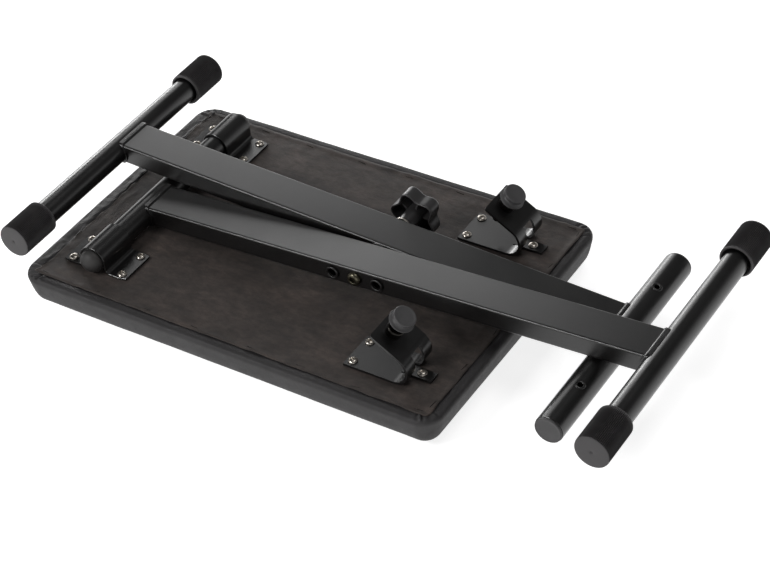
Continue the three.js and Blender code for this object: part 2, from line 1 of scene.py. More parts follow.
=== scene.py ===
# %% [markdown]
# # A folding keyboard bench, folded flat and lying upside down
#
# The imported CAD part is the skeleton: tubes, brackets, screws and knobs at their true sizes.
# This script dresses that skeleton. Hard pieces mostly stay as they are and get a finish, and
# soft or very small pieces are built again here with the detail that the solids leave out.
# Everything is in metres, in the CAD part's own frame: X along the legs, Y across, Z up.

import math
import random

import bpy
import numpy as np
from mathutils import Matrix, Vector, noise


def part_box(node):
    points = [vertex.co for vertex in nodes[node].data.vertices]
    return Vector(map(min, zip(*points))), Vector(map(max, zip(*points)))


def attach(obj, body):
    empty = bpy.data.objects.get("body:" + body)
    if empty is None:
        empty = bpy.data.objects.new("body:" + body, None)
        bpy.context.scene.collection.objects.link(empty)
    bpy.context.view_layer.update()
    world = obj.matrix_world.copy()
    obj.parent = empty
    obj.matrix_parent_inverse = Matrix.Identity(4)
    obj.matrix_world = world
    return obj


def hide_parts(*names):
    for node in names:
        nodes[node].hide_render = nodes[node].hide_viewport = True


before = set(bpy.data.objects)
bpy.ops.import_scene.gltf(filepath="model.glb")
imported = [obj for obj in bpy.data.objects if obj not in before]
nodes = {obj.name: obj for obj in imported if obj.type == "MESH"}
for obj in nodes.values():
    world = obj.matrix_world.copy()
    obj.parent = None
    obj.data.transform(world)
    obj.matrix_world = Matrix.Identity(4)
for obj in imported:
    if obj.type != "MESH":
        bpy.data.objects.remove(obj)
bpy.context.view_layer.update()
scene = bpy.context.scene
MM = 0.001

# %% [markdown]
# ## The camera
#
# The picture was taken from in front, from the right and from well above, with the camera rolled
# a few degrees. A long lens keeps the two ends of the bench almost the same size. The angles
# and the distance were worked out from corners whose real places are known.

# %% Camera
CAMERA_AT = (0.9543, -1.3391, 1.3858)
AZIMUTH, ELEVATION, ROLL = 35.42, 39.72, -5.44
FOCAL_PIXELS, PICTURE_WIDTH, SENSOR = 2225.3, 770, 36.0


def camera_axes(azimuth, elevation, roll):
    a, e, r = (math.radians(v) for v in (azimuth, elevation, roll))
    forward = Vector((-math.sin(a) * math.cos(e), math.cos(a) * math.cos(e), -math.sin(e)))
    level = forward.cross(Vector((0, 0, 1))).normalized()
    upright = level.cross(forward)
    right = math.cos(r) * level + math.sin(r) * upright
    up = -math.sin(r) * level + math.cos(r) * upright
    return right, up, -forward


camera_data = bpy.data.cameras.new("camera")
camera_data.sensor_width = SENSOR
camera_data.lens = FOCAL_PIXELS / PICTURE_WIDTH * SENSOR
camera = bpy.data.objects.new("camera", camera_data)
scene.collection.objects.link(camera)
camera.matrix_world = Matrix.Translation(CAMERA_AT) @ Matrix(
    camera_axes(AZIMUTH, ELEVATION, ROLL)
).transposed().to_4x4()
scene.camera = camera
print("lens", round(camera_data.lens, 1), "mm")

# %% [markdown]
# ## One helper for every node, and one for colours
#
# A material in Blender is a small graph. `add_node` makes one node, sets its options and joins
# its inputs, so that each material below reads as a recipe. Colours are written as the hex values
# that a painter would pick from a screen, and `linear` turns them into the light values that the
# renderer wants.

# %% Material helpers
def linear(hex_colour):
    channels = [int(hex_colour[i : i + 2], 16) / 255 for i in (1, 3, 5)]
    return [c / 12.92 if c <= 0.04045 else ((c + 0.055) / 1.055) ** 2.4 for c in channels] + [1.0]


def add_node(material, kind, settings=None, **inputs):
    """Adds a node. Settings are its options; inputs are values or other nodes' outputs."""
    node = material.node_tree.nodes.new(kind)
    for name, value in (settings or {}).items():
        setattr(node, name, value)
    for name, value in inputs.items():
        key = int(name[1:]) if name[0] == "i" and name[1:].isdigit() else name.replace("_", " ")
        if isinstance(value, bpy.types.NodeSocket):
            material.node_tree.links.new(value, node.inputs[key])
        else:
            node.inputs[key].default_value = value
    return node


def new_material(name):
    material = bpy.data.materials.new(name)
    material.use_nodes = True
    material.node_tree.nodes.clear()
    return material


def close_material(material, shader, viewport):
    """Joins the shader to the output, and sets the colour that a plain viewport shows."""
    add_node(material, "ShaderNodeOutputMaterial", Surface=shader.outputs[0])
    material.diffuse_color = linear(viewport)
    return material


def principled(material, viewport, **inputs):
    """Ends a material with the shader that all these finishes share."""
    shader = add_node(material, "ShaderNodeBsdfPrincipled", **inputs)
    return close_material(material, shader, viewport)


def maths(material, operation, first, second=0.0):
    node = add_node(material, "ShaderNodeMath", {"operation": operation}, i0=first, i1=second)
    return node.outputs[0]


def blended(material, amount, base, other, mode="MIX"):
    """Mixes two colours, or darkens one by the other with MULTIPLY."""
    settings = {"data_type": "RGBA", "blend_type": mode}
    return add_node(material, "ShaderNodeMix", settings, i0=amount, i6=base, i7=other).outputs[2]


def ramp(material, factor, stops):
    """A colour ramp from (position, hex) stops."""
    node = add_node(material, "ShaderNodeValToRGB", Fac=factor)
    elements = node.color_ramp.elements
    while len(elements) < len(stops):
        elements.new(0.5)
    for element, (position, colour) in zip(elements, stops):
        element.position = position
        element.color = linear(colour) if isinstance(colour, str) else (colour,) * 3 + (1.0,)
    return node.outputs["Color"]


def grain(material, size_mm, detail=3.0, roughness=0.55, stretch=(1, 1, 1), distortion=0.0):
    """Noise whose blobs measure about size_mm, in the object's own metres."""
    place = add_node(material, "ShaderNodeTexCoord").outputs["Object"]
    spread = add_node(material, "ShaderNodeMapping", i0=place, Scale=stretch).outputs[0]
    return add_node(
        material,
        "ShaderNodeTexNoise",
        Vector=spread,
        Scale=1 / (size_mm * MM * 2),
        Detail=detail,
        Roughness=roughness,
        Distortion=distortion,
    ).outputs["Fac"]


def raised(material, height, depth_mm, normal=None):
    """Bump with a real depth in millimetres."""
    extra = {"Normal": normal} if normal else {}
    return add_node(
        material, "ShaderNodeBump", Height=height, Distance=depth_mm * MM, Strength=1.0, **extra
    ).outputs[0]


# %% [markdown]
# ## Powder-coated steel
#
# The legs, tubes, clamps and latches are mild steel with a baked black polyester powder coat.
# The powder melts into a film with a faint orange-peel texture a millimetre or two across. That
# breaks the reflection of the lamp into a soft sheen, and rubbed places turn a little smoother.

# %% Powder coat
POWDER_PEEL_MM, RUBBED_PATCH_MM, DUST_MM = 0.9, 38, 7


def powder_coated_steel():
    material = new_material("powder_coated_steel")
    peel = grain(material, POWDER_PEEL_MM, detail=2.0)
    rub = grain(material, RUBBED_PATCH_MM, detail=4.0, roughness=0.6)
    dust = grain(material, DUST_MM, detail=5.0, roughness=0.7)
    return principled(
        material,
        "#131212",
        Base_Color=ramp(material, dust, [(0.35, "#0a0909"), (0.62, "#0f0e0e"), (0.8, "#161515")]),
        Roughness=ramp(material, rub, [(0.3, 0.29), (0.7, 0.37)]),
        Normal=raised(material, peel, 0.02),
        Coat_Normal=raised(material, peel, 0.012),
        Coat_Weight=0.25,
        Coat_Roughness=0.22,
    )


powder = powder_coated_steel()
print("made", powder.name)

# %% [markdown]
# ## Plated steel
#
# The screws are bright zinc over steel, and a passivation turns the zinc of the pivot bolt olive.
# The staples are blackened, and the pull pins get the same near-black as painted shade for the
# shadow that the knobs cast on them. All are metals, so their colour is the colour of their
# reflection. Tumbling in the plating barrel leaves them cloudy, with fine scratches a few tenths
# of a millimetre apart.

# %% Plated steel
ZINC_CLOUD_MM, SCRATCH_MM = 1.6, 0.35


def zinc_plated_steel(name="zinc_plated_steel", dark="#8d8780", light="#c9c3ba"):
    material = new_material(name)
    cloud = grain(material, ZINC_CLOUD_MM, detail=4.0)
    scratch = grain(material, SCRATCH_MM, detail=2.0, stretch=(1, 6, 1))
    return principled(
        material,
        light,
        Metallic=1.0,
        Base_Color=ramp(material, cloud, [(0.32, dark), (0.66, light)]),
        Roughness=ramp(material, scratch, [(0.3, 0.22), (0.72, 0.42)]),
        Normal=raised(material, scratch, 0.015),
    )


zinc = zinc_plated_steel()
yellow_zinc = zinc_plated_steel("yellow_passivated_zinc", "#3b3930", "#6f6b5c")
# Near-black steel: the blackened finish of the staples, and painted shade on the pull pins under
# their knobs.
black_steel_and_shade = zinc_plated_steel("blackened_steel_and_painted_shade", "#1d1c1c", "#34322f")
print("made", zinc.name, yellow_zinc.name, black_steel_and_shade.name)

# %% [markdown]
# ## Leatherette, the dust cover's cloth and plywood
#
# The seat's skin is black PVC leatherette, calendered with a fine pebble grain that is about a
# millimetre across. The underside wears a dust cover of spun-bonded polypropylene, a thin felt of
# black fibres. It is thin enough for the brown of the board to come through in blotches, and
# handling has matted it in short streaks.

# %% Leatherette
PEBBLE_MM, CREASE_MM, WEAR_MM = 1.0, 5, 26


def pvc_leatherette():
    material = new_material("pvc_leatherette")
    place = add_node(material, "ShaderNodeTexCoord").outputs["Object"]
    pebble = add_node(
        material,
        "ShaderNodeTexVoronoi",
        {"feature": "DISTANCE_TO_EDGE"},
        Vector=place,
        Scale=1 / (PEBBLE_MM * MM),
    ).outputs["Distance"]
    bead = ramp(material, pebble, [(0.0, 0.0), (0.22, 0.8), (0.5, 1.0)])
    crease = grain(material, CREASE_MM, detail=5.0, roughness=0.65, distortion=0.6)
    wear = grain(material, WEAR_MM, detail=4.0)
    return principled(
        material,
        "#262425",
        Base_Color=ramp(material, wear, [(0.3, "#1e1c1d"), (0.55, "#232122"), (0.75, "#292728")]),
        Roughness=ramp(material, crease, [(0.3, 0.56), (0.7, 0.68)]),
        Normal=raised(material, bead, 0.05, raised(material, crease, 0.2)),
        IOR=1.5,
    )


leatherette = pvc_leatherette()
print("made", leatherette.name)

# %% Dust cover cloth
FIBRE_MM, MOTTLE_MM, SLACK_MM, BLOTCH_MM = 0.5, 3.0, 16, 17


def spunbond_polypropylene():
    material = new_material("spunbond_polypropylene")
    blotch = grain(material, BLOTCH_MM, detail=6.0, roughness=0.6, distortion=0.15)
    tones = [(0.3, "#342c28"), (0.44, "#3e3530"), (0.56, "#463c37"), (0.74, "#584c45")]
    fibres = [
        grain(material, FIBRE_MM, detail=3.0, roughness=0.7, stretch=lie)
        for lie in ((1, 3, 1), (3, 1, 1))
    ]
    felt = maths(material, "MULTIPLY", maths(material, "ADD", *fibres), 0.5)
    speck = ramp(material, felt, [(0.36, "#5c5856"), (0.62, "#ffffff")])
    cloth = blended(material, 0.6, ramp(material, blotch, tones), speck, "MULTIPLY")
    mottle = grain(material, MOTTLE_MM, detail=4.0, roughness=0.7, stretch=(0.45, 1, 1))
    matted = ramp(material, mottle, [(0.36, "#958f8c"), (0.5, "#cfcbc9"), (0.64, "#ffffff")])
    slack = grain(
        material, SLACK_MM, detail=5.0, roughness=0.55, stretch=(1, 0.8, 1), distortion=0.6
    )
    folds = raised(material, mottle, 0.25, raised(material, slack, 0.7))
    return principled(
        material,
        "#2d2624",
        Base_Color=blended(material, 0.75, cloth, matted, "MULTIPLY"),
        Roughness=0.72,
        Sheen_Weight=0.1,
        Sheen_Roughness=0.5,
        Normal=raised(material, felt, 0.1, folds),
    )


dust_cloth = spunbond_polypropylene()
print("made", dust_cloth.name)

# %% Plywood
PLY_MM, FIGURE_MM = 1.4, 2.2


def birch_plywood():
    material = new_material("birch_plywood")
    place = add_node(material, "ShaderNodeTexCoord").outputs["Object"]
    height = add_node(material, "ShaderNodeSeparateXYZ", i0=place).outputs["Z"]
    band = maths(material, "SINE", maths(material, "MULTIPLY", height, math.pi / (PLY_MM * MM)))
    edge = ramp(material, band, [(0.1, "#7a5a3a"), (0.6, "#a7845a")])
    figure = grain(material, FIGURE_MM, detail=5.0, stretch=(0.12, 1, 1), distortion=0.8)
    face = ramp(material, figure, [(0.3, "#8f6f49"), (0.7, "#b39269")])
    return principled(
        material,
        "#9a7a52",
        Base_Color=blended(material, 0.45, face, edge),
        Roughness=0.75,
        Normal=raised(material, figure, 0.08),
    )


plywood = birch_plywood()
print("made", plywood.name)

# %% [markdown]
# ## Rubber and plastics
#
# The foot caps are moulded rubber, matt with a dusty bloom. The knobs are injection moulded nylon
# with a spark-eroded satin finish, so their highlights are soft but clear. The plugs in the hinge
# tube are a duller polyethylene.

# %% Rubber and plastics
BLOOM_MM, RUBBER_SKIN_MM, CLOUD_MM, SPARK_MM = 9, 0.5, 11, 0.45


def moulded_rubber():
    material = new_material("moulded_rubber")
    bloom = grain(material, BLOOM_MM, detail=5.0, roughness=0.65)
    return principled(
        material,
        "#232122",
        Base_Color=ramp(material, bloom, [(0.3, "#343233"), (0.6, "#3f3d3e"), (0.8, "#4a4848")]),
        Roughness=ramp(material, bloom, [(0.3, 0.45), (0.7, 0.6)]),
        Normal=raised(material, grain(material, RUBBER_SKIN_MM, detail=2.0), 0.02),
    )


def satin_plastic(name, dark, light, roughness):
    material = new_material(name)
    cloud = grain(material, CLOUD_MM, detail=4.0)
    return principled(
        material,
        dark,
        Base_Color=ramp(material, cloud, [(0.3, dark), (0.7, light)]),
        Roughness=roughness,
        Normal=raised(material, grain(material, SPARK_MM, detail=2.0), 0.025),
    )


rubber = moulded_rubber()
nylon = satin_plastic("satin_nylon", "#2d2c2d", "#373636", 0.34)
grey_nylon = satin_plastic("grey_satin_nylon", "#3a393a", "#454445", 0.5)
plug_plastic = satin_plastic("moulded_polyethylene", "#232222", "#312f2e", 0.6)
print("made", rubber.name, nylon.name, grey_nylon.name, plug_plastic.name)

# %% [markdown]
# ## Dressing the CAD pieces
#
# A CAD solid arrives as flat facets with knife-sharp corners. Real edges are never sharp, and the
# thin bright line that a rounded edge catches is most of what makes metal look real. Four
# modifiers do it without touching the mesh: they weld the loose facets together, round the edges
# that turn by more than 32 degrees, shade what is left as one smooth surface, and level the
# normals so that a flat face stays flat right up to its rounded edge.

# %% Smooth shading by angle
SHARP_FROM, ROUND_FROM, WELD_WITHIN = math.radians(28), math.radians(32), 0.02 * MM
def smooth_by_angle_group():
    group = bpy.data.node_groups.new("smooth_by_angle", "GeometryNodeTree")
    group.interface.new_socket("Geometry", in_out="INPUT", socket_type="NodeSocketGeometry")
    group.interface.new_socket("Geometry", in_out="OUTPUT", socket_type="NodeSocketGeometry")
    link = group.links.new
    start = group.nodes.new("NodeGroupInput")
    faces = group.nodes.new("GeometryNodeSetShadeSmooth")
    faces.domain = "FACE"
    angle = group.nodes.new("GeometryNodeInputMeshEdgeAngle")
    sharp = group.nodes.new("FunctionNodeCompare")
    sharp.data_type = "FLOAT"
    sharp.operation = "GREATER_THAN"
    sharp.inputs[1].default_value = SHARP_FROM
    edges = group.nodes.new("GeometryNodeSetShadeSmooth")
    edges.domain = "EDGE"
    edges.inputs["Shade Smooth"].default_value = False
    end = group.nodes.new("NodeGroupOutput")
    link(start.outputs[0], faces.inputs["Geometry"])
    link(faces.outputs[0], edges.inputs["Geometry"])
    link(angle.outputs["Unsigned Angle"], sharp.inputs[0])
    link(sharp.outputs[0], edges.inputs["Selection"])
    link(edges.outputs[0], end.inputs[0])
    return group


SMOOTH = smooth_by_angle_group()


def dress(name, material, edge_mm):
    """Gives a CAD node its finish, rounded edges and smooth shading."""
    piece = nodes[name]
    mesh = piece.data
    mesh.materials.clear()
    mesh.materials.append(material)
    if "custom_normal" in mesh.attributes:
        mesh.attributes.remove(mesh.attributes["custom_normal"])
    piece.modifiers.new("weld", "WELD").merge_threshold = WELD_WITHIN
    if edge_mm:
        bevel = piece.modifiers.new("edges", "BEVEL")
        bevel.width = edge_mm * MM
        bevel.segments = 2
        bevel.limit_method = "ANGLE"
        bevel.angle_limit = ROUND_FROM
    piece.modifiers.new("smooth", "NODES").node_group = SMOOTH
    piece.modifiers.new("level", "WEIGHTED_NORMAL").keep_sharp = True


# %% Finishes of the CAD nodes
FINISHES = [
    (powder, 0.35, ["leg_a", "leg_b", "hinge_tube", "latch_tube", "foot_tube_a", "foot_tube_b"]),
    (powder, 0.45, ["saddle_clamp_near", "saddle_clamp_far"]),
    (powder, 0.8, ["latch_bracket_near", "latch_bracket_far"]),
    # The pins' near-black is painted shade, standing in for the shadow under the pull knobs.
    (black_steel_and_shade, 0.2, ["pin_barrel_near", "pin_barrel_far", "pin_rod_near", "pin_rod_far"]),
    (zinc, 0.2, ["knob_washer"]),
    (yellow_zinc, 0.25, ["pivot_bolt"]),
    (nylon, 0.3, ["star_knob", "leg_spacer", "pull_knob_near", "pull_knob_far"]),
    (plug_plastic, 0.3, ["hinge_plug_near", "hinge_plug_far"]),
    (grey_nylon, 0.3, ["latch_plug_near", "latch_plug_far"]),
    (rubber, 0.3, ["foot_cap_a_near", "foot_cap_a_far", "foot_cap_b_near", "foot_cap_b_far"]),
    (plywood, 0.3, ["seat_board"]),
    (dust_cloth, 0.0, ["dust_cover"]),
    (leatherette, 0.0, ["seat_cushion"]),
    (zinc, 0.12, sorted(n for n in nodes if "_screw_" in n)),
]

for finish, edge, names in FINISHES:
    for name in names:
        dress(name, finish, edge)
print("dressed", sum(len(names) for _, _, names in FINISHES), "CAD nodes")

# %% [markdown]
# ## Helpers for new pieces
#
# Most new pieces are rings of points joined into a closed skin, the way a knitter adds rows.
# `ring_faces` joins the rings, and `new_piece` makes the mesh and lets it ride on its CAD body.

# %% Mesh helpers
def new_piece(name, points, faces, material, body, smooth=True):
    mesh = bpy.data.meshes.new(name)
    mesh.from_pydata([tuple(p) for p in points], [], faces)
    mesh.materials.append(material)
    mesh.polygons.foreach_set("use_smooth", [smooth] * len(mesh.polygons))
    mesh.update()
    piece = bpy.data.objects.new(name, mesh)
    scene.collection.objects.link(piece)
    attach(piece, body)
    return piece


def ring_faces(rings, count, joined=False):
    """Quads between rings of points, closed by a face at each end or by joining the ends."""
    faces, size = [], rings * count
    for start in range(0, size if joined else size - count, count):
        above = (start + count) % size
        for i in range(count):
            j = (i + 1) % count
            faces.append((start + i, start + j, above + j, above + i))
    if not joined:
        faces += [tuple(reversed(range(count))), tuple(range(size - count, size))]
    return faces


def turns(count):
    """The angles of count points spread round a circle."""
    return [2 * math.pi * i / count for i in range(count)]


def share(low, high, value):
    """How far value has come on its way from low to high, from 0 to 1."""
    return min(max((value - low) / (high - low), 0), 1)


def shade_smooth(piece):
    piece.modifiers.new("smooth", "NODES").node_group = SMOOTH
    return piece


# %% [markdown]
# ## Turned pieces
#
# Caps, plugs, knobs and screws are all turned shapes, so one function spins a profile round an
# axis. A profile is a list of (radius, height) points that is refined between its corners, and
# `shape` may change the radius at each angle, which is how ribs and lobes are cut.

# %% Spinning a profile
def refined(profile, step):
    """Adds points between the corners of a profile, so that no part of it is longer than step."""
    fine = [profile[0]]
    for (r0, h0), (r1, h1) in zip(profile, profile[1:]):
        parts = max(1, round(math.hypot(r1 - r0, h1 - h0) / step))
        for i in range(1, parts + 1):
            fine.append((r0 + (r1 - r0) * i / parts, h0 + (h1 - h0) * i / parts))
    return fine


def revolved(profile, count, place, shape=None):
    """Rings of points. place turns their own Z axis and millimetres into the frame's metres."""
    points = []
    for radius, height in profile:
        for angle in turns(count):
            r = shape(radius, height, angle) if shape else radius
            points.append(place @ Vector((r * math.cos(angle), r * math.sin(angle), height)))
    return points


def spun(name, profile, count, place, material, body, shape=None):
    """A closed turned piece."""
    points = revolved(profile, count, place, shape)
    return shade_smooth(new_piece(name, points, ring_faces(len(profile), count), material, body))


def stand(at, axis, first=None):
    """Places a piece made in millimetres along Z, so that its Z axis points along axis."""
    z = Vector(axis).normalized()
    x = Vector(first or ((1, 0, 0) if abs(z.x) < 0.9 else (0, 1, 0)))
    x = (x - x.dot(z) * z).normalized()
    turn = Matrix((x, z.cross(x), z)).transposed().to_4x4()
    return Matrix.Translation(at) @ turn @ Matrix.Scale(MM, 4)


def arc_points(centre, radius, start, end, steps):
    """Points of an arc in a profile, for the rounded edges that every moulding has."""
    angles = [math.radians(start + (end - start) * i / steps) for i in range(steps + 1)]
    return [(centre[0] + radius * math.cos(a), centre[1] + radius * math.sin(a)) for a in angles]


# %% [markdown]
# ## Foot caps
#
# The rubber caps have fine ribs all round, so that a hand can twist them, and a flat end with the
# small dimple that the moulding gate leaves. The mouth is wider than the tube for the first few
# millimetres, which shows as a dark ring between rubber and steel.

# %% Foot caps
CAP_RADIUS, CAP_LENGTH, CAP_RIBS, RIB_DEEP, RIB_START = 16.9, 44.5, 70, 1.35, 2.4
CAP_BORE, CAP_MOUTH, CAP_DEPTH = 12.8, 14.7, 40


def cap_profile():
    inside = [(0.4, CAP_DEPTH), (CAP_BORE, CAP_DEPTH), (CAP_BORE, 5), (CAP_MOUTH, 2.2)]
    lip = arc_points((CAP_RADIUS - 1.5, 0.9), 0.9, 180, 270, 3)[1:]
    lip += arc_points((CAP_RADIUS - 1.2, 1.1), 1.1, -90, 0, 5)
    wall = [(CAP_RADIUS, 3.0), (CAP_RADIUS, CAP_LENGTH - 1.6)]
    edge = arc_points((CAP_RADIUS - 1.3, CAP_LENGTH - 1.1), 1.1, 0, 90, 6)
    dimple = [(9, 0.02), (2.4, 0), (1.7, -0.15), (1.1, -0.8)]
    dimple = refined([(r, CAP_LENGTH + h) for r, h in dimple], 3) + [(0.3, CAP_LENGTH - 0.95)]
    return refined(inside + [(CAP_MOUTH, 0.4)], 6) + lip + refined(wall, 3) + edge + dimple


def cap_ribs(radius, height, angle):
    if radius < CAP_RADIUS - 0.9 or height < RIB_START:
        return radius
    fade = share(RIB_START, RIB_START + 0.8, height)
    fade *= share(CAP_LENGTH - 0.7, CAP_LENGTH - 1.4, height)
    groove = (0.5 + 0.5 * math.cos(angle * CAP_RIBS)) ** 0.8
    return radius - RIB_DEEP * fade * groove


for name in [n for n in sorted(nodes) if n.startswith("foot_cap_")]:
    low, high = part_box(name)
    side = -1 if name.endswith("near") else 1
    mouth_y = high.y if side < 0 else low.y
    at = Vector(((low.x + high.x) / 2, mouth_y, (low.z + high.z) / 2))
    body = "leg_a_frame" if "_a_" in name else "leg_b_frame"
    place = stand(at, (0, side, 0))
    cap = spun(name + "_ribbed", cap_profile(), CAP_RIBS * 6, place, rubber, body, cap_ribs)
    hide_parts(name)
print("caps with", CAP_RIBS, "ribs")

# %% [markdown]
# ## Plugs in the tube ends
#
# Moulded plugs close the open tubes: domed ones in the hinge tube, and flat ones in the latch
# tube. Each has a thin rim that sits on the cut end of the tube.

# %% Plugs
def plug_piece(name, tube, profile, body, material):
    low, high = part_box(name)
    tube_low, tube_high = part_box(tube)
    side = -1 if name.endswith("near") else 1
    seat_y = tube_low.y if side < 0 else tube_high.y
    at = Vector(((low.x + high.x) / 2, seat_y, (low.z + high.z) / 2))
    piece = spun(name + "_moulded", profile, 56, stand(at, (0, side, 0)), material, body)
    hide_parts(name)


def stem(radius):
    hollow = [(0.3, -2.0), (radius - 2, -2.0), (radius - 2, -10)]
    return hollow + [(radius - 0.6, -10), (radius, -9.3), (radius, 0)]


DOME = [(11.4, 0), (12.0, 0.3), (12.0, 1.2)]
for angle in (math.radians(6 * i) for i in range(1, 15)):
    DOME.append((12.0 * math.cos(angle), 1.2 + 10 * math.sin(angle)))
DOME.append((0.4, 11.19))
LEVEL = [(12.9, 0), (13.4, 0.3), (13.4, 1.2)] + arc_points((12.4, 1.3), 1.0, 0, 90, 5)
LEVEL += [(11.9, 2.2), (11.5, 2.05), (8, 2.05), (0.3, 2.05)]
domed, flat = refined(stem(10.7) + DOME, 2), refined(stem(12.1) + LEVEL, 2)
for side in ("near", "far"):
    plug_piece(f"hinge_plug_{side}", "hinge_tube", domed, "leg_a_frame", plug_plastic)
    plug_piece(f"latch_plug_{side}", "latch_tube", flat, "leg_b_frame", grey_nylon)
print("plugs placed")

# %% [markdown]
# ## Screws
#
# Fourteen pan-head screws hold the metalwork to the board. The cross recess is pressed into the
# head, so its walls slope. Here the head is a fine disc of rings, and the recess is pushed into it
# as a depth that depends on the distance from the two arms of the cross.

# %% Screws
HEAD_RADIUS, HEAD_HEIGHT, HEAD_RIM, HEAD_RINGS, HEAD_POINTS = 4.6, 2.8, 0.8, 26, 60
RECESS_DEEP, RECESS_ARM, RECESS_REACH, RECESS_MIDDLE = 1.45, 0.62, 2.55, 1.25


def recess(x, y, turn_by):
    """Depth of the cross recess at a point of the head."""
    c, s = math.cos(turn_by), math.sin(turn_by)
    u, v = abs(c * x + s * y), abs(-s * x + c * y)
    arm = share(RECESS_ARM, RECESS_ARM - 0.22, min(u, v))
    length = share(RECESS_REACH, RECESS_REACH - 0.5, max(u, v))
    middle = share(RECESS_MIDDLE, RECESS_MIDDLE - 0.4, math.hypot(u, v))
    return RECESS_DEEP * max(arm * length, middle)


def pan_screw(name):
    low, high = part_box(name)
    turn_by = random.Random(name).uniform(0, math.pi / 2)
    centre = (low + high) / 2
    foot = high.z / MM - HEAD_HEIGHT
    rows = [(0.3, -9.6), (1.5, -8.4), (2.0, -7), (2.0, 0), (HEAD_RADIUS - 0.3, 0)]
    rows += [(HEAD_RADIUS, 0.35), (HEAD_RADIUS, HEAD_RIM)]
    for i in range(HEAD_RINGS):
        out = 1 - i / (HEAD_RINGS - 1)
        rise = (1 - out**2.6) ** 0.75
        rows.append((max(HEAD_RADIUS * out, 0.12), HEAD_RIM + (HEAD_HEIGHT - HEAD_RIM) * rise))
    points = []
    for radius, height in rows:
        for angle in turns(HEAD_POINTS):
            x, y = radius * math.cos(angle), radius * math.sin(angle)
            z = foot + height - (recess(x, y, turn_by) if height > HEAD_RIM else 0)
            points.append(Vector((centre.x + x * MM, centre.y + y * MM, z * MM)))
    faces = ring_faces(len(rows), HEAD_POINTS)
    piece = shade_smooth(new_piece(name + "_pressed", points, faces, zinc, "seat"))
    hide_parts(name)


for name in sorted(n for n in nodes if "_screw_" in n):
    pan_screw(name)
print("screws placed")

# %% [markdown]
# ## Pull knobs
#
# Each latch has a spring pin with a turned nylon knob: a wide flange to hook two fingers under, a
# waist, and a flat top with a faint dish. The near pin is drawn out, the far one is home.

# %% Pull knobs
PIN_LEAN, KNOB_MIDDLE = math.radians(31.7), 6.2
PIN_AXIS = Vector((math.sin(PIN_LEAN), 0, math.cos(PIN_LEAN)))
PULL_PROFILE = (
    [(0.3, 7.7), (3.8, 7.7), (3.8, 0.0), (8.3, 0.0)]
    + arc_points((8.5, 0.5), 0.5, -60, 0, 3)
    + [(9.6, 2.2)]
    + arc_points((11.7, 3.6), 0.7, -80, 80, 8)
    + [(10.2, 5.1), (9.2, 6.1), (8.8, 7.2), (9.2, 8.2)]
    + arc_points((10.1, 9.6), 0.9, -60, 0, 4)
    + arc_points((10.0, 11.4), 1.0, 0, 90, 6)
    + [(9.2, 12.36), (8.7, 12.2), (4, 12.15), (0.3, 12.15)]
)
for side in ("near", "far"):
    knob_low, knob_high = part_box(f"pull_knob_{side}")
    foot = (knob_low + knob_high) / 2 - PIN_AXIS * KNOB_MIDDLE * MM
    knob = spun(
        f"pull_knob_{side}_turned",
        refined(PULL_PROFILE, 1.5),
        64,
        stand(foot, PIN_AXIS),
        grey_nylon,
        f"pull_pin_{side}",
    )
    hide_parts(f"pull_knob_{side}")
print("pull knobs placed")

# %% [markdown]
# ## Star knob
#
# The clamping knob is one injection moulding: a long hub and a hollow shell with five lobes. The
# rim of the shell faces the leg, so the picture looks into the hollow, and the rounded rims catch
# the light. The lobes come from one cosine wave round the circle.

# %% Star knob
STAR_RADIUS, STAR_DEEP, STAR_SHELL, STAR_HUB, STAR_BORE = 25.4, 6.0, 2.4, 8.8, 4.3
STAR_RIM, STAR_SKIRT = 16.3, 16.5
STAR_TOP = STAR_RIM + STAR_SKIRT
RIB_REACH, RIB_HALF = 18.5, 0.9


def star_shape(radius, height, angle):
    """Small radii stay round, and large ones follow the lobes."""
    strength = share(STAR_HUB + 0.5, STAR_HUB + 4.5, radius)
    return radius - STAR_DEEP * strength * (0.5 + 0.5 * math.cos(5 * angle))


inner, outer = STAR_RADIUS - STAR_SHELL, STAR_RADIUS
ceiling = STAR_TOP - STAR_SHELL
star_profile = [(0.3, 19.0), (STAR_BORE, 19.0), (STAR_BORE, 0.0), (STAR_HUB - 0.6, 0.0)]
star_profile += [(STAR_HUB, 0.6), (STAR_HUB + 0.3, ceiling - 1), (STAR_HUB + 1.5, ceiling)]
star_profile += [(inner - 2.5, ceiling)] + arc_points((inner - 1.2, ceiling - 1.2), 1.2, 90, 0, 4)
star_profile.append((inner, STAR_RIM + 1))
star_profile += arc_points((inner + 1.2, STAR_RIM + 1.1), 1.1, 180, 360, 10)
star_profile.append((outer, STAR_TOP - 3))
star_profile += arc_points((outer - 2.6, STAR_TOP - 2.6), 2.6, 0, 90, 8)
star_profile += [(radius, STAR_TOP + 0.1) for radius in (14, 5, 0.3)]
pivot_z = sum(c.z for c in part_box("knob_washer")) / 2
star_at = Vector((0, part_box("star_knob")[0].y, pivot_z))
star_place = stand(star_at, (0, 1, 0), (1, 0, 0))
fine_star = refined(star_profile, 2)
star_knob = spun("star_knob_moulded", fine_star, 240, star_place, nylon, "knob", star_shape)


def star_ribs():
    """Five stiffening ribs between the hub and the shell."""
    points, faces = [], []
    section = [(STAR_HUB - 1, STAR_RIM + 2.4), (RIB_REACH, STAR_RIM + 3.4)]
    section += [(RIB_REACH, ceiling + 1), (STAR_HUB - 1, ceiling + 1)]
    box = [(0, 2, 4, 6), (7, 5, 3, 1), (0, 1, 3, 2), (2, 3, 5, 4), (4, 5, 7, 6), (6, 7, 1, 0)]
    for angle in turns(5):
        along = Vector((math.cos(angle), math.sin(angle), 0))
        across = Vector((-along.y, along.x, 0))
        faces += [tuple(len(points) + i for i in quad) for quad in box]
        for r, h in section:
            for half in (-RIB_HALF, RIB_HALF):
                points.append(star_place @ (along * r + across * half + Vector((0, 0, h))))
    return points, faces


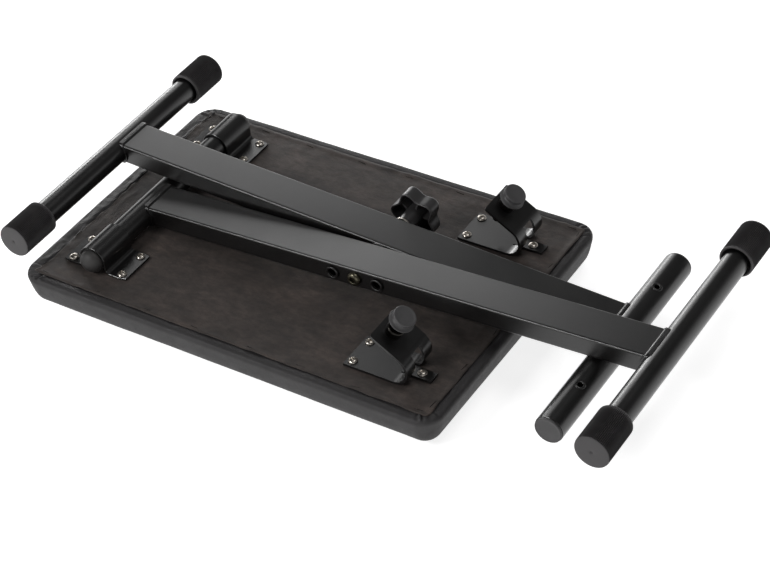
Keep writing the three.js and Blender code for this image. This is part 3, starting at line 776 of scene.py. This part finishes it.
ribs = new_piece("star_knob_ribs", *star_ribs(), nylon, "knob", smooth=False)
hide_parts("star_knob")
print("star knob", round(STAR_RADIUS * 2, 1), "mm across")

# %% [markdown]
# ## Pivot bolt
#
# A button-head bolt holds the legs. Its hexagon socket is a ring of points that changes from a
# circle to a hexagon on the way in.

# %% Bolt
SOCKET_RADIUS, BOLT_HEAD, SIXTH = 3.4, 4.4, math.pi / 3


def socket_shape(radius, height, angle):
    if radius > SOCKET_RADIUS or height > 0 or radius < 0.5:
        return radius
    sector = (angle + SIXTH / 2) % SIXTH - SIXTH / 2
    return radius * math.cos(SIXTH / 2) / math.cos(sector)


bolt_low, bolt_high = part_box("pivot_bolt")
bolt_length = (bolt_high.y - bolt_low.y) / MM
head = [(0.3, -2.0), (3.1, -2.0), (3.1, -4.1), (3.5, -4.5)]
head += [(4.4, -4.45), (5.6, -4.1), (6.5, -3.3), (7.1, -2.0), (7.2, -0.9), (7.0, 0.0), (4.0, 0.0)]
head += [(4.0, bolt_length - 5.2), (3.4, bolt_length - 4.5), (0.3, bolt_length - BOLT_HEAD)]
head = refined(head, 0.9)
bolt_place = stand(Vector((0, bolt_low.y + BOLT_HEAD * MM, pivot_z)), (0, 1, 0), (1, 0, 0))
bolt = spun("pivot_bolt_turned", head, 72, bolt_place, yellow_zinc, "leg_a_frame", socket_shape)
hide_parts("pivot_bolt")

# %% [markdown]
# ## Punched holes
#
# Leg A has three holes for the bolt, one for each seat height. Each was punched through the tube
# wall, and the punch left a smooth raised lip round it.

# %% Hole lips
HOLE_PITCH, TILT, HOLE_LIP_RADIUS = 24.6, math.radians(2.95), 5.7
LIP_ROUND, LIP_FLATNESS = 1.3, 0.6
leg_a_low, leg_a_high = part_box("leg_a")


def hole_lip(name, at, out, radius, body):
    """A raised ring with a soft section, its flat side sunk in the wall."""
    ring = arc_points((radius, 0.0), LIP_ROUND, -90, 270, 20)[:-1]
    ring = [(r, h * LIP_FLATNESS) for r, h in ring]
    points, faces = revolved(ring, 48, stand(at, out)), ring_faces(len(ring), 48, joined=True)
    new_piece(name, points, faces, powder, body)


for label, step in (("hinge", -1), ("foot", 1)):
    along = step * HOLE_PITCH * MM
    at = Vector((along * math.cos(TILT), leg_a_low.y, pivot_z + along * math.sin(TILT)))
    hole_lip(f"hole_lip_a_{label}", at, (0, -1, 0), HOLE_LIP_RADIUS, "leg_a_frame")
print("hole lips placed")

# %% [markdown]
# ## The latch tube
#
# This tube lies open to view and carries two small holes, which let hot gas out while the powder
# is baked. A round highlight shows every facet near such a hole, so the tube is drawn again with
# many more faces than the solid has, and a round cutter drills the holes through its wall.

# %% Latch tube with vent holes
VENT_FROM_END, VENT_ANGLE, VENT_RADIUS = 50.5 * MM, math.radians(13.5) + TILT, 3.3
LATCH_RADIUS, LATCH_BORE, WALL_STEP, LATCH_POINTS = 13.9, 12.4, 3.0, 72


def drilled(piece, at, out, radius, depth):
    """Cuts a round hole into a piece and keeps the rest of its mesh as it was."""
    drill = [(0.1, -depth), (radius, -depth), (radius, depth), (0.1, depth)]
    cutter = spun("cutter", drill, 24, stand(at, out), powder, "seat")
    cut = piece.modifiers.new("hole", "BOOLEAN")
    cut.object, cut.solver = cutter, "EXACT"
    whole = piece.evaluated_get(bpy.context.evaluated_depsgraph_get())
    mesh = bpy.data.meshes.new_from_object(whole)
    piece.modifiers.clear()
    piece.data = mesh
    bpy.data.objects.remove(cutter)


tube_low, tube_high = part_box("latch_tube")
tube_middle = (tube_low + tube_high) / 2
half = (tube_high.y - tube_low.y) / MM / 2
wall = [(LATCH_BORE, half), (LATCH_BORE, -half), (LATCH_RADIUS - 0.3, -half)]
wall += [(LATCH_RADIUS, -half + 0.3), (LATCH_RADIUS, half - 0.3), (LATCH_RADIUS - 0.3, half)]
wall = refined(wall + wall[:1], WALL_STEP)[:-1]
skin = revolved(wall, LATCH_POINTS, stand(tube_middle, (0, 1, 0)))
skin_faces = ring_faces(len(wall), LATCH_POINTS, joined=True)
latch_tube = new_piece("latch_tube_drawn", skin, skin_faces, powder, "leg_b_frame")
vent_out = Vector((math.sin(VENT_ANGLE), 0, math.cos(VENT_ANGLE)))
for label, y in (("near", tube_low.y + VENT_FROM_END), ("far", tube_high.y - VENT_FROM_END)):
    at = Vector((tube_middle.x, y, tube_middle.z)) + vent_out * LATCH_RADIUS * MM
    drilled(latch_tube, at, vent_out, VENT_RADIUS, 4.0)
    sunk = at - vent_out * 0.35 * MM
    hole_lip(f"vent_lip_{label}", sunk, vent_out, VENT_RADIUS + 0.5, "leg_b_frame")
shade_smooth(latch_tube)
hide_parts("latch_tube")
print("latch tube drawn", round(2 * half, 1), "mm long")

# %% [markdown]
# ## Weld beads
#
# The legs are welded all round to the cross tubes by hand. A bead laid that way is a row of
# overlapping ripples about two millimetres apart, softened by the coat of powder. Each bead here
# is a thick line along the seam where the rectangular tube meets the round one, and its radius
# swells and shrinks at every ripple.

# %% Weld beads
LEG_HALF_WIDE, LEG_HALF_HIGH, LEG_SQUARENESS = 20.75, 10.5, 7
TUBE_RADIUS, RIPPLE_MM, BEAD_RADIUS, RIPPLE_DEEP, UNEVEN = 12.5, 2.1, 1.7, 0.34, 0.16


def seam(tube_radius):
    """The closed seam, with X from the tube's axis towards the leg, in millimetres."""
    line = []
    for angle in turns(220):
        y, z = math.cos(angle), math.sin(angle)
        reach = abs(y / LEG_HALF_WIDE) ** LEG_SQUARENESS + abs(z / LEG_HALF_HIGH) ** LEG_SQUARENESS
        reach **= -1 / LEG_SQUARENESS
        y, z = y * reach, z * reach
        line.append(Vector((math.sqrt(max(tube_radius**2 - z * z, 0)), y, z)))
    return line


def weld_bead(name, tube, tube_radius, leg_y, inwards, tilt, body):
    low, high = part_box(tube)
    centre = Vector(((low.x + high.x) / 2, leg_y, (low.z + high.z) / 2))
    line = seam(tube_radius + 0.3)
    turn = Matrix.Rotation(-tilt, 4, "Y") @ Matrix.Diagonal((inwards, 1, 1, 1))
    points, sides, travelled = [], 10, 0
    rng = random.Random(name)
    for i, p in enumerate(line):
        before, after = line[i - 1], line[(i + 1) % len(line)]
        travelled += (p - before).length if i else 0
        forward = (after - before).normalized()
        outward = Vector((0.75, p.y / LEG_HALF_WIDE * 0.2, p.z / LEG_HALF_HIGH))
        outward = (outward - outward.dot(forward) * forward).normalized()
        third = forward.cross(outward)
        radius = BEAD_RADIUS + RIPPLE_DEEP * math.cos(2 * math.pi * travelled / RIPPLE_MM)
        radius += rng.uniform(-UNEVEN, UNEVEN)
        for a in turns(sides):
            local = p + (outward * math.cos(a) + third * math.sin(a)) * radius
            points.append(centre + (turn @ local) * MM)
    faces = ring_faces(len(line), sides, joined=True)
    new_piece(name, points, faces, powder, body)


leg_b_low, leg_b_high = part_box("leg_b")
mid_a, mid_b = (leg_a_low.y + leg_a_high.y) / 2, (leg_b_low.y + leg_b_high.y) / 2
weld_bead("weld_a_hinge", "hinge_tube", TUBE_RADIUS, mid_a, 1, TILT, "leg_a_frame")
weld_bead("weld_a_foot", "foot_tube_a", TUBE_RADIUS, mid_a, -1, TILT, "leg_a_frame")
weld_bead("weld_b_foot", "foot_tube_b", TUBE_RADIUS, mid_b, 1, -TILT, "leg_b_frame")
weld_bead("weld_b_latch", "latch_tube", LATCH_RADIUS, mid_b, -1, -TILT, "leg_b_frame")
print("weld beads placed")

# %% [markdown]
# ## Saddle clamps
#
# A clamp is one strap of two-millimetre sheet bent over the hinge tube. It is swept here along the
# same path as the CAD piece, in many more steps, so that the bend reflects light without facets.

# %% Saddle clamps
SADDLE_SHEET, SADDLE_HALF, SADDLE_LONG, SADDLE_BEND, TUBE_CLEAR = 2.0, 37.0, 42.0, 5.0, 12.8
SHEET_EDGE, CORNER_CUT = 0.3, 1.6


def saddle_path():
    flat, reach = SADDLE_SHEET / 2, TUBE_CLEAR + SADDLE_SHEET / 2
    foot = reach + SADDLE_BEND
    path = [(-SADDLE_HALF, flat), (-30, flat), (-foot, flat)]
    path += arc_points((-foot, flat + SADDLE_BEND), SADDLE_BEND, -90, 0, 9)[1:]
    path += arc_points((0, TUBE_CLEAR), reach, 180, 0, 36)
    path += arc_points((foot, flat + SADDLE_BEND), SADDLE_BEND, 180, 270, 9)
    return path + [(30, flat), (SADDLE_HALF, flat)]


def strap_rows(path, centre):
    """Sections of a sheet strip along a path in X and Z, with softened edges and end corners."""
    rows, thick = [], SADDLE_SHEET / 2
    for i, p in enumerate(path):
        a, b = path[max(i - 1, 0)], path[min(i + 1, len(path) - 1)]
        direction = Vector((b[0] - a[0], 0, b[1] - a[1])).normalized()
        normal = Vector((-direction.z, 0, direction.x))
        half = SADDLE_LONG / 2 - (CORNER_CUT if i in (0, len(path) - 1) else 0)
        wide, tall = half - SHEET_EDGE, thick - SHEET_EDGE
        section = [(-half, -tall), (-wide, -thick), (wide, -thick), (half, -tall)]
        section += [(half, tall), (wide, thick), (-wide, thick), (-half, tall)]
        rows += [centre + (Vector((p[0], y, p[1])) + normal * t) * MM for y, t in section]
    return rows


path = saddle_path()
for side in ("near", "far"):
    low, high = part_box(f"saddle_clamp_{side}")
    rows = strap_rows(path, Vector(((low.x + high.x) / 2, (low.y + high.y) / 2, low.z)))
    faces = ring_faces(len(path), 8)
    clamp = shade_smooth(new_piece(f"saddle_clamp_{side}_bent", rows, faces, powder, "seat"))
    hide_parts(f"saddle_clamp_{side}")
print("saddle clamps placed")

# %% [markdown]
# ## The cushion
#
# The cushion is a foam pad on a plywood board, wrapped in leatherette that is pulled over the
# board's edge and stapled underneath. Because the bench lies upside down, its seat side is on the
# floor and flat there, its sides bulge a little, and the turned edge on top shows pleats at the
# corners where the skin has to gather. No cloth simulation is used. The profile below has the
# crown and the drawn-in sides, and noise adds the small unevenness of real foam.

# %% Cushion outline
cushion_low, cushion_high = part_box("seat_cushion")
board_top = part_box("seat_board")[1].z / MM
SEAT_CENTRE = (cushion_low + cushion_high) / 2
SEAT_HALF = (cushion_high - cushion_low) / 2 / MM
CORNER, STRAIGHT_STEP, CORNER_STEPS = 22.0, 9.0, 13
ROUND_UNTIL = CORNER * 0.8
print("seat", [round(v) for v in SEAT_HALF * 2], "mm, board top at", round(board_top, 2))


def from_centre(centre, x, y, z):
    """A point in the frame's metres, from millimetres about a centre and above the floor."""
    return Vector((x * MM + centre.x, y * MM + centre.y, z * MM))


def seat_outline():
    """Points round the seat as (corner centre, outward direction), in millimetres."""
    marks = []
    corners = [(1, -1), (1, 1), (-1, 1), (-1, -1)]
    for k, (sx, sy) in enumerate(corners):
        centre = Vector((sx * (SEAT_HALF.x - CORNER), sy * (SEAT_HALF.y - CORNER), 0))
        for i in range(CORNER_STEPS + 1):
            angle = math.radians(-90 + 90 * k) + math.pi / 2 * i / CORNER_STEPS
            marks.append((centre, Vector((math.cos(angle), math.sin(angle), 0))))
        tx, ty = corners[(k + 1) % 4]
        target = Vector((tx * (SEAT_HALF.x - CORNER), ty * (SEAT_HALF.y - CORNER), 0))
        steps = round((target - centre).length / STRAIGHT_STEP)
        out = marks[-1][1]
        marks += [(centre.lerp(target, i / steps), out) for i in range(1, steps)]
    return marks


OUTLINE = seat_outline()
print("points round the seat:", len(OUTLINE))


def seat_point(mark, inset, z):
    """A point of the ring that lies inset from the outline."""
    centre, out = mark
    past = max(inset - ROUND_UNTIL, 0)
    shrink_x = 1 - past / (SEAT_HALF.x - CORNER)
    shrink_y = max(1 - past / (SEAT_HALF.y - CORNER), 0)
    hub = Vector((centre.x * shrink_x, centre.y * shrink_y, 0))
    p = hub + out * (CORNER - min(inset, ROUND_UNTIL))
    return from_centre(SEAT_CENTRE, p.x, p.y, z)


# %% Cushion profile
# Each row is (inset, height), and the sides add how far they are drawn in. The lip lies on the
# board, and the pocket is what the board fills.
CROWN = [(157, 0.6), (140, 0.6), (118, 0.6), (100, 0.6), (82, 0.6), (66, 0.7), (52, 1.0)]
CROWN += [(40, 1.6)]
SIDES = [(30, 2.4, 0.4), (22, 3.4, 0.8), (15.5, 4.7, 1.2), (10.5, 6.4, 1.6), (7, 8.6, 1.9)]
SIDES += [(4.6, 11.4, 2.0), (3, 14.6, 2.1), (1.9, 18.2, 2.0), (1.1, 22, 1.8), (0.6, 26, 1.4)]
SIDES += [(0.3, 29.6, 1.0), (0.1, 32.8, 0.5)]
LIP = [(0.2, 35.4), (0.8, 37.4), (2.0, 38.9), (3.8, 39.7), (6.2, 39.95), (8.6, 39.9)]
LIP += [(10.2, 39.5), (11.2, 39.05), (13.5, 38.95), (20, 38.92), (20.4, 38.84)]
LIP += [(13.5, 38.82), (3.9, 38.82)]
POCKET = [(3.75, 38.4), (3.7, 33), (3.75, 27.0), (4.2, 26.6)]
POCKET += [(inset, 26.5) for inset in (30, 75, 118, 157)]
PROFILE = [(*row, 0) for row in CROWN] + SIDES + [(*row, 0) for row in LIP + POCKET]


coarse = np.array([
    [seat_point(mark, inset + drawn_in, height) for mark in OUTLINE]
    for inset, height, drawn_in in PROFILE
])

# %% [markdown]
# The rings are split in four both ways along a smooth curve, which costs far less than a
# subdivided mesh and leaves room for pleats a millimetre wide.

# %% Cushion skin
def finer_grid(grid, times):
    """Subdivides a closed tube of points as a cubic spline does, along and across."""
    for _ in range(times):
        before, after = np.roll(grid, 1, axis=1), np.roll(grid, -1, axis=1)
        wide = np.empty((grid.shape[0], grid.shape[1] * 2, 3))
        wide[:, 0::2], wide[:, 1::2] = (before + 6 * grid + after) / 8, (grid + after) / 2
        grid = np.empty((wide.shape[0] * 2 - 1, wide.shape[1], 3))
        grid[0::2], grid[1::2] = wide, (wide[:-1] + wide[1:]) / 2
        grid[2:-2:2] = (wide[:-2] + 6 * wide[1:-1] + wide[2:]) / 8
    return grid


fine = finer_grid(coarse, 2)
fine_faces = ring_faces(fine.shape[0], fine.shape[1])
cushion = new_piece("cushion", fine.reshape(-1, 3), fine_faces, leatherette, "seat")
print("finer skin:", fine.shape[0] * fine.shape[1], "points")

# %% [markdown]
# Then come the marks of the upholsterer. At each corner the skin has too much length, and it
# gathers into a few pleats that fan out from the end of the board. Along the ends, where the skin
# was pulled by hand between the staples, the lip puckers. The sides stay smooth and almost flat.

# %% Cushion pleats and puckers
BOARD_INSET, BOARD_TOP, SKIN_LEFT, HINGE_END_LIP = 4.0, 38.8, 0.35, 4.5
FLOOR_GAP, HIGHEST_FOLD = 0.25, 41.3
# Each pleat is (degrees from the corner's diagonal, depth, width).
PLEATS = {
    (-1, -1): [(-36, 1.2, 1.4), (-20, 1.5, 1.2), (-7, 1.2, 1.3), (6, 1.4, 1.2)],
    (1, -1): [(-26, 0.6, 1.6), (-4, 0.4, 2.0), (13, 1.2, 1.2), (29, 0.5, 1.6)],
    (1, 1): [(-24, 0.6, 1.6), (-6, 0.9, 1.3), (11, 0.7, 1.4), (27, 0.5, 1.8)],
    (-1, 1): [(-28, 0.7, 1.5), (-9, 0.9, 1.3), (8, 0.8, 1.4), (25, 0.7, 1.7)],
}
PLEATS[(-1, -1)] += [(19, 1.3, 1.3), (34, 1.2, 1.5)]


def inset_at(x, y):
    """Distance in from the seat's outline, in millimetres."""
    qx, qy = abs(x) - (SEAT_HALF.x - CORNER), abs(y) - (SEAT_HALF.y - CORNER)
    return CORNER - math.hypot(max(qx, 0), max(qy, 0)) - min(max(qx, qy), 0)


def smoothstep(low, high, value):
    """Like share, with a soft start and a soft end."""
    t = share(low, high, value)
    return t * t * (3 - 2 * t)


def wave(x, y, along, across, seed):
    """Smooth noise over the seat. along and across are in blobs per millimetre."""
    return noise.noise(Vector((x * along, y * across, seed)))


def sign(value):
    return 1 if value > 0 else -1


def pleat_depth(x, y, z, inset):
    """How far the pleats press the skin in, from the angle round the nearest corner."""
    sx, sy = sign(x), sign(y)
    arm = Vector((x * sx - (SEAT_HALF.x - CORNER - 3), y * sy - (SEAT_HALF.y - CORNER - 3)))
    if arm.x < -6 or arm.y < -6:
        return 0.0
    turned_by = math.degrees(math.atan2(arm.y, arm.x)) - 45
    depth = 0.0
    for at, deep, wide in PLEATS[(sx, sy)]:
        across = math.radians(turned_by - at) * arm.length
        groove = math.exp(-((across / wide) ** 2))
        shoulder = math.exp(-(((across - wide * 1.9) / (wide * 1.2)) ** 2))
        depth += deep * (groove - 0.9 * shoulder)
    over_edge = smoothstep(36, 39.4, z) * smoothstep(1.6, 4.4, inset)
    return depth * over_edge * smoothstep(4, 12, arm.length)


def pucker(x, y, z, inset):
    """Folds of the lip that run along the two ends, deeper at the hinge end."""
    near_end = smoothstep(SEAT_HALF.x - 34, SEAT_HALF.x - 12, abs(x))
    strength = near_end * (1.5 if x < 0 else 0.675)
    fold = wave(x, y, 0.2, 0.035, 3) + 0.6 * wave(x, y, 0.3, 0.22, 8)
    return strength * fold * smoothstep(37, 39.4, z) * smoothstep(1.5, 5, inset)


def board_below(inset, z):
    """How far a point of the skin lies from the board, in millimetres."""
    beside, above = BOARD_INSET - inset, z - BOARD_TOP
    if beside > 0 and above > 0:
        return math.hypot(beside, above)
    return max(beside, above)


def wrinkle_skin(mesh):
    normals = [Vector(v.normal) for v in mesh.vertices]
    for vertex, normal in zip(mesh.vertices, normals):
        p = vertex.co / MM
        x, y, z = p.x - SEAT_CENTRE.x / MM, p.y - SEAT_CENTRE.y / MM, p.z
        inset = inset_at(x, y)
        hidden = (inset > 3.3 and 25 < z < 38.9) or (inset > 14 and z > 25)
        if hidden:
            continue
        push = 0.45 * noise.noise(p * 0.012 + Vector((9, 4, 2))) + 0.12 * noise.noise(p * 0.05)
        if z > 25:
            push += pucker(x, y, z, inset) - pleat_depth(x, y, z, inset)
            push = max(push, SKIN_LEFT - board_below(inset, z))
        p += normal * push
        p.z = min(max(p.z, FLOOR_GAP), HIGHEST_FOLD)
        if z > 38.5:
            at_hinge_end = smoothstep(SEAT_HALF.x - 26, SEAT_HALF.x - 16, -x)
            p.x += HINGE_END_LIP * at_hinge_end * smoothstep(3, 8, inset)
        vertex.co = p * MM
    mesh.update()


wrinkle_skin(cushion.data)
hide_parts("seat_cushion")
print("cushion height", round(max(v.co.z for v in cushion.data.vertices) / MM, 2), "mm")

# %% [markdown]
# ## The dust cover
#
# A thin felt, cut square and stapled over the raw edge of the leatherette. It is pulled tight but
# never perfectly flat: it dips between the staples, swells over the turned edge below it and lifts
# a little at its own cut edge, which draws a dark line all round.

# %% Dust cover sheet
cover_low, cover_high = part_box("dust_cover")
COVER_CENTRE = (cover_low + cover_high) / 2
COVER_HALF = (cover_high - cover_low) / 2 / MM
COVER_STEP, COVER_THICK, COVER_LEVEL, COVER_LIMIT = 2.2, 0.5, 39.68, 41.2
EDGE_ONLY, CORNER_CLIP = 30, 2.5


def cover_edge_shift(x, y):
    """The hand-cut edge wanders a little, and most at the puckered end."""
    wander = wave(x, y, 0.045, 0.045, 2) + 0.5 * wave(x, y, 0.15, 0.15, 6)
    return wander * (1.5 if x < -COVER_HALF.x + 4 else 0.7)


def cover_height(x, y):
    """Slack between the staples: long soft waves, with short creases near the edges."""
    p = Vector((x, y, 0))
    from_end = COVER_HALF.x - abs(x)
    edge = min(from_end, COVER_HALF.y - abs(y))
    z = 0.34 * noise.noise(p * 0.02) + 0.2 * noise.noise(p * 0.055 + Vector((5, 5, 0)))
    bend = 2.2 * Vector([wave(x, y, 0.02, 0.02, seed) for seed in (41, 52, 63)])
    crease = abs(noise.noise(Vector((x * 0.09, y * 0.045, 4)) + bend))
    z -= 0.28 * max(0.35 - crease * 2.2, 0)
    z += 0.5 * smoothstep(12, 1, edge) * wave(x, y, 0.11, 0.11, 9)
    z += 0.9 * smoothstep(34, 6, edge) * wave(x, y, 0.04, 0.04, 13)
    fold = math.exp(-(((edge - 15 - 5 * wave(x, y, 0.03, 0.03, 21)) / 2.2) ** 2))
    z += 0.6 * fold * max(wave(x, y, 0.02, 0.02, 33) + 0.25, 0)
    if x < 0:
        z += 1.3 * smoothstep(13, 4, from_end) * wave(x, y, 0.05, 0.08, 1)
    return COVER_LEVEL + z + 0.85 * smoothstep(8, 0.5, edge)


def cover_point(u, v):
    """A point of the sheet's upper side. u and v run from -1 to 1 across it."""
    x, y = u * COVER_HALF.x, v * COVER_HALF.y
    shift = cover_edge_shift(x, y) + (HINGE_END_LIP if u < 0 else 0) * (1 - abs(v) ** EDGE_ONLY)
    x -= shift * abs(u) ** EDGE_ONLY * sign(u)
    y -= shift * abs(v) ** EDGE_ONLY * sign(v)
    clip = max(abs(x) - COVER_HALF.x + abs(y) - COVER_HALF.y + CORNER_CLIP, 0) * 0.5
    x, y = x - clip * sign(x), y - clip * sign(y)
    z = max(min(cover_height(x, y), COVER_LIMIT), 38.95 + COVER_THICK)
    return from_centre(COVER_CENTRE, x, y, z)


def cover_sheet():
    nx, ny = round(2 * COVER_HALF.x / COVER_STEP), round(2 * COVER_HALF.y / COVER_STEP)
    places = [(i / nx * 2 - 1, j / ny * 2 - 1) for j in range(ny + 1) for i in range(nx + 1)]
    upper, faces = [cover_point(u, v) for u, v in places], []
    points = [p - Vector((0, 0, COVER_THICK * MM)) for p in upper] + upper
    row, size = nx + 1, (nx + 1) * (ny + 1)
    for j in range(ny):
        for i in range(nx):
            a, b, c, d = j * row + i, j * row + i + 1, (j + 1) * row + i + 1, (j + 1) * row + i
            faces.append((size + a, size + b, size + c, size + d))
            faces.append((d, c, b, a))
    rim = list(range(nx)) + [j * row + nx for j in range(ny)]
    rim += [ny * row + i for i in range(nx, 0, -1)] + [j * row for j in range(ny, 0, -1)]
    faces += [(a, b, size + b, size + a) for a, b in zip(rim, rim[1:] + rim[:1])]
    return points, faces


cover = new_piece("dust_cover_sheet", *cover_sheet(), dust_cloth, "seat")
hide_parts("dust_cover")

# %% [markdown]
# ## Staples
#
# The cover is held by blackened staples near its edge, about 58 mm apart and never quite straight.
# Each is a bent wire, half sunk in the felt, with a round section that gives one thin glint.

# %% Staples
STAPLE_CROWN, STAPLE_WIRE, STAPLE_PITCH, STAPLE_INSET, FROM_CORNER = 9.5, 0.32, 58.0, 4.2, 14


def staple(name, x, y, heading, rng):
    heading += rng.uniform(-0.16, 0.16)
    along = Vector((math.cos(heading), math.sin(heading), 0))
    side = Vector((-along.y, along.x, 0))
    half, top = STAPLE_CROWN / 2, cover_height(x, y) + 0.04
    leg = [(-half, -2.4), (-half, -0.6), (-half + 0.16, -0.16), (-half + 0.6, 0)]
    path = leg + [(-u, w) for u, w in reversed(leg)]
    points = []
    for i, (u, w) in enumerate(path):
        a, b = path[max(i - 1, 0)], path[min(i + 1, len(path) - 1)]
        direction = Vector((b[0] - a[0], b[1] - a[1])).normalized()
        normal = along * -direction.y + Vector((0, 0, direction.x))
        middle = Vector((x, y, top + w)) + along * u
        for angle in turns(8):
            p = middle + (side * math.cos(angle) + normal * math.sin(angle)) * STAPLE_WIRE
            points.append(from_centre(COVER_CENTRE, p.x, p.y, p.z))
    new_piece(name, points, ring_faces(len(path), 8), black_steel_and_shade, "seat")


def staple_places(rng):
    """Places along the two long edges, then along the two short ones."""
    places = []
    for heading, length, across in ((0.0, *COVER_HALF.xy), (math.pi / 2, *COVER_HALF.yx)):
        count = round(2 * (length - FROM_CORNER) / STAPLE_PITCH)
        for side in (-1, 1):
            for t in [2 * i / count - 1 for i in range(count + 1)]:
                t = t * (length - FROM_CORNER) + rng.uniform(-5, 5)
                edge = side * (across - STAPLE_INSET + rng.uniform(-0.8, 0.8))
                places.append((edge, t, heading) if heading else (t, edge, heading))
    return places


rng = random.Random(11)
places = staple_places(rng)
for i, (x, y, heading) in enumerate(places):
    staple(f"staple_{i + 1}", x, y, heading, rng)
print("staples:", len(places))

# %% [markdown]
# ## The stage
#
# The floor is white. What the camera and the shiny pieces see of it is lifted a little, so that it
# reads as a white sheet, and the rest of its tone comes from the lamps, so that it still holds the
# bench's soft shadow.

# %% Floor
FLOOR_SIZE, FLOOR_LIFT, PAPER_MM = 14.0, 0.8, 60


def floor_material():
    material = new_material("white_paper")
    path = add_node(material, "ShaderNodeLightPath").outputs
    seen = maths(material, "MAXIMUM", path["Is Camera Ray"], path["Is Glossy Ray"])
    seen = maths(material, "MAXIMUM", seen, path["Is Transmission Ray"])
    tone = ramp(material, grain(material, PAPER_MM, detail=2.0), [(0.3, 0.62), (0.7, 0.64)])
    diffuse = add_node(material, "ShaderNodeBsdfDiffuse", Color=tone)
    lift = maths(material, "MULTIPLY", seen, FLOOR_LIFT)
    glow = add_node(material, "ShaderNodeEmission", Color=(1, 1, 1, 1), Strength=lift)
    both = add_node(material, "ShaderNodeAddShader", i0=diffuse.outputs[0], i1=glow.outputs[0])
    return close_material(material, both, "#ffffff")


half = FLOOR_SIZE / 2
floor_mesh = bpy.data.meshes.new("floor")
corners = [(-half, -half, 0), (half, -half, 0), (half, half, 0), (-half, half, 0)]
floor_mesh.from_pydata(corners, [], [(0, 1, 2, 3)])
floor_mesh.materials.append(floor_material())
floor = bpy.data.objects.new("floor", floor_mesh)
floor.location.z = -0.4 * MM
scene.collection.objects.link(floor)

# %% [markdown]
# The lamps are soft boxes, as a product photographer would hang them. The big one stands behind
# the bench, where its reflection runs along the tops of the legs. A low strip beside it gives the
# screws and tubes their bright lines, a long strip in front on the left lights the seat's side,
# and two weaker lamps lift the cover and the shadows.

# %% Light
def lamp(name, at, size, power, aim=(0, 0, 0.05)):
    data = bpy.data.lights.new(name, "AREA")
    data.shape = "RECTANGLE"
    data.size, data.size_y = size
    data.energy = power
    piece = bpy.data.objects.new(name, data)
    scene.collection.objects.link(piece)
    piece.location = at
    piece.rotation_mode = "QUATERNION"
    piece.rotation_quaternion = (Vector(aim) - Vector(at)).to_track_quat("-Z", "Y")


lamp("back_softbox", (-1.52, 1.81, 1.1), (0.9, 1.6), 10)
lamp("low_strip", (-2.0, 1.5, 0.45), (1.4, 0.4), 15)
lamp("left_strip", (-1.3, -1.95, 1.85), (1.5, 0.16), 42)
lamp("top_softbox", (0.5, 0.4, 2.4), (1.2, 0.9), 12, aim=(0, 0, 0))
lamp("front_fill", (1.3, -2.2, 0.8), (1.6, 0.8), 4)

world = bpy.data.worlds.new("studio")
world.use_nodes = True
world.node_tree.nodes.clear()
scene.world = world


def studio_world():
    """White paper all round up to eye level, and a dark ceiling, as in a small studio."""
    path = add_node(world, "ShaderNodeLightPath").outputs
    seen = maths(world, "MAXIMUM", path["Is Camera Ray"], path["Is Transmission Ray"])
    direction = add_node(world, "ShaderNodeTexCoord").outputs["Generated"]
    height = add_node(world, "ShaderNodeSeparateXYZ", i0=direction).outputs["Z"]
    walls = ramp(world, height, [(0.0, 0.85), (0.18, 0.7), (0.42, 0.12), (0.8, 0.07)])
    white = add_node(world, "ShaderNodeBackground", Color=(1, 1, 1, 1), Strength=1.0)
    room = add_node(world, "ShaderNodeBackground", Color=walls, Strength=1.0)
    shaders = {"i1": room.outputs[0], "i2": white.outputs[0]}
    mixed = add_node(world, "ShaderNodeMixShader", i0=seen, **shaders)
    add_node(world, "ShaderNodeOutputWorld", Surface=mixed.outputs[0])


studio_world()
scene.view_settings.view_transform = "Standard"
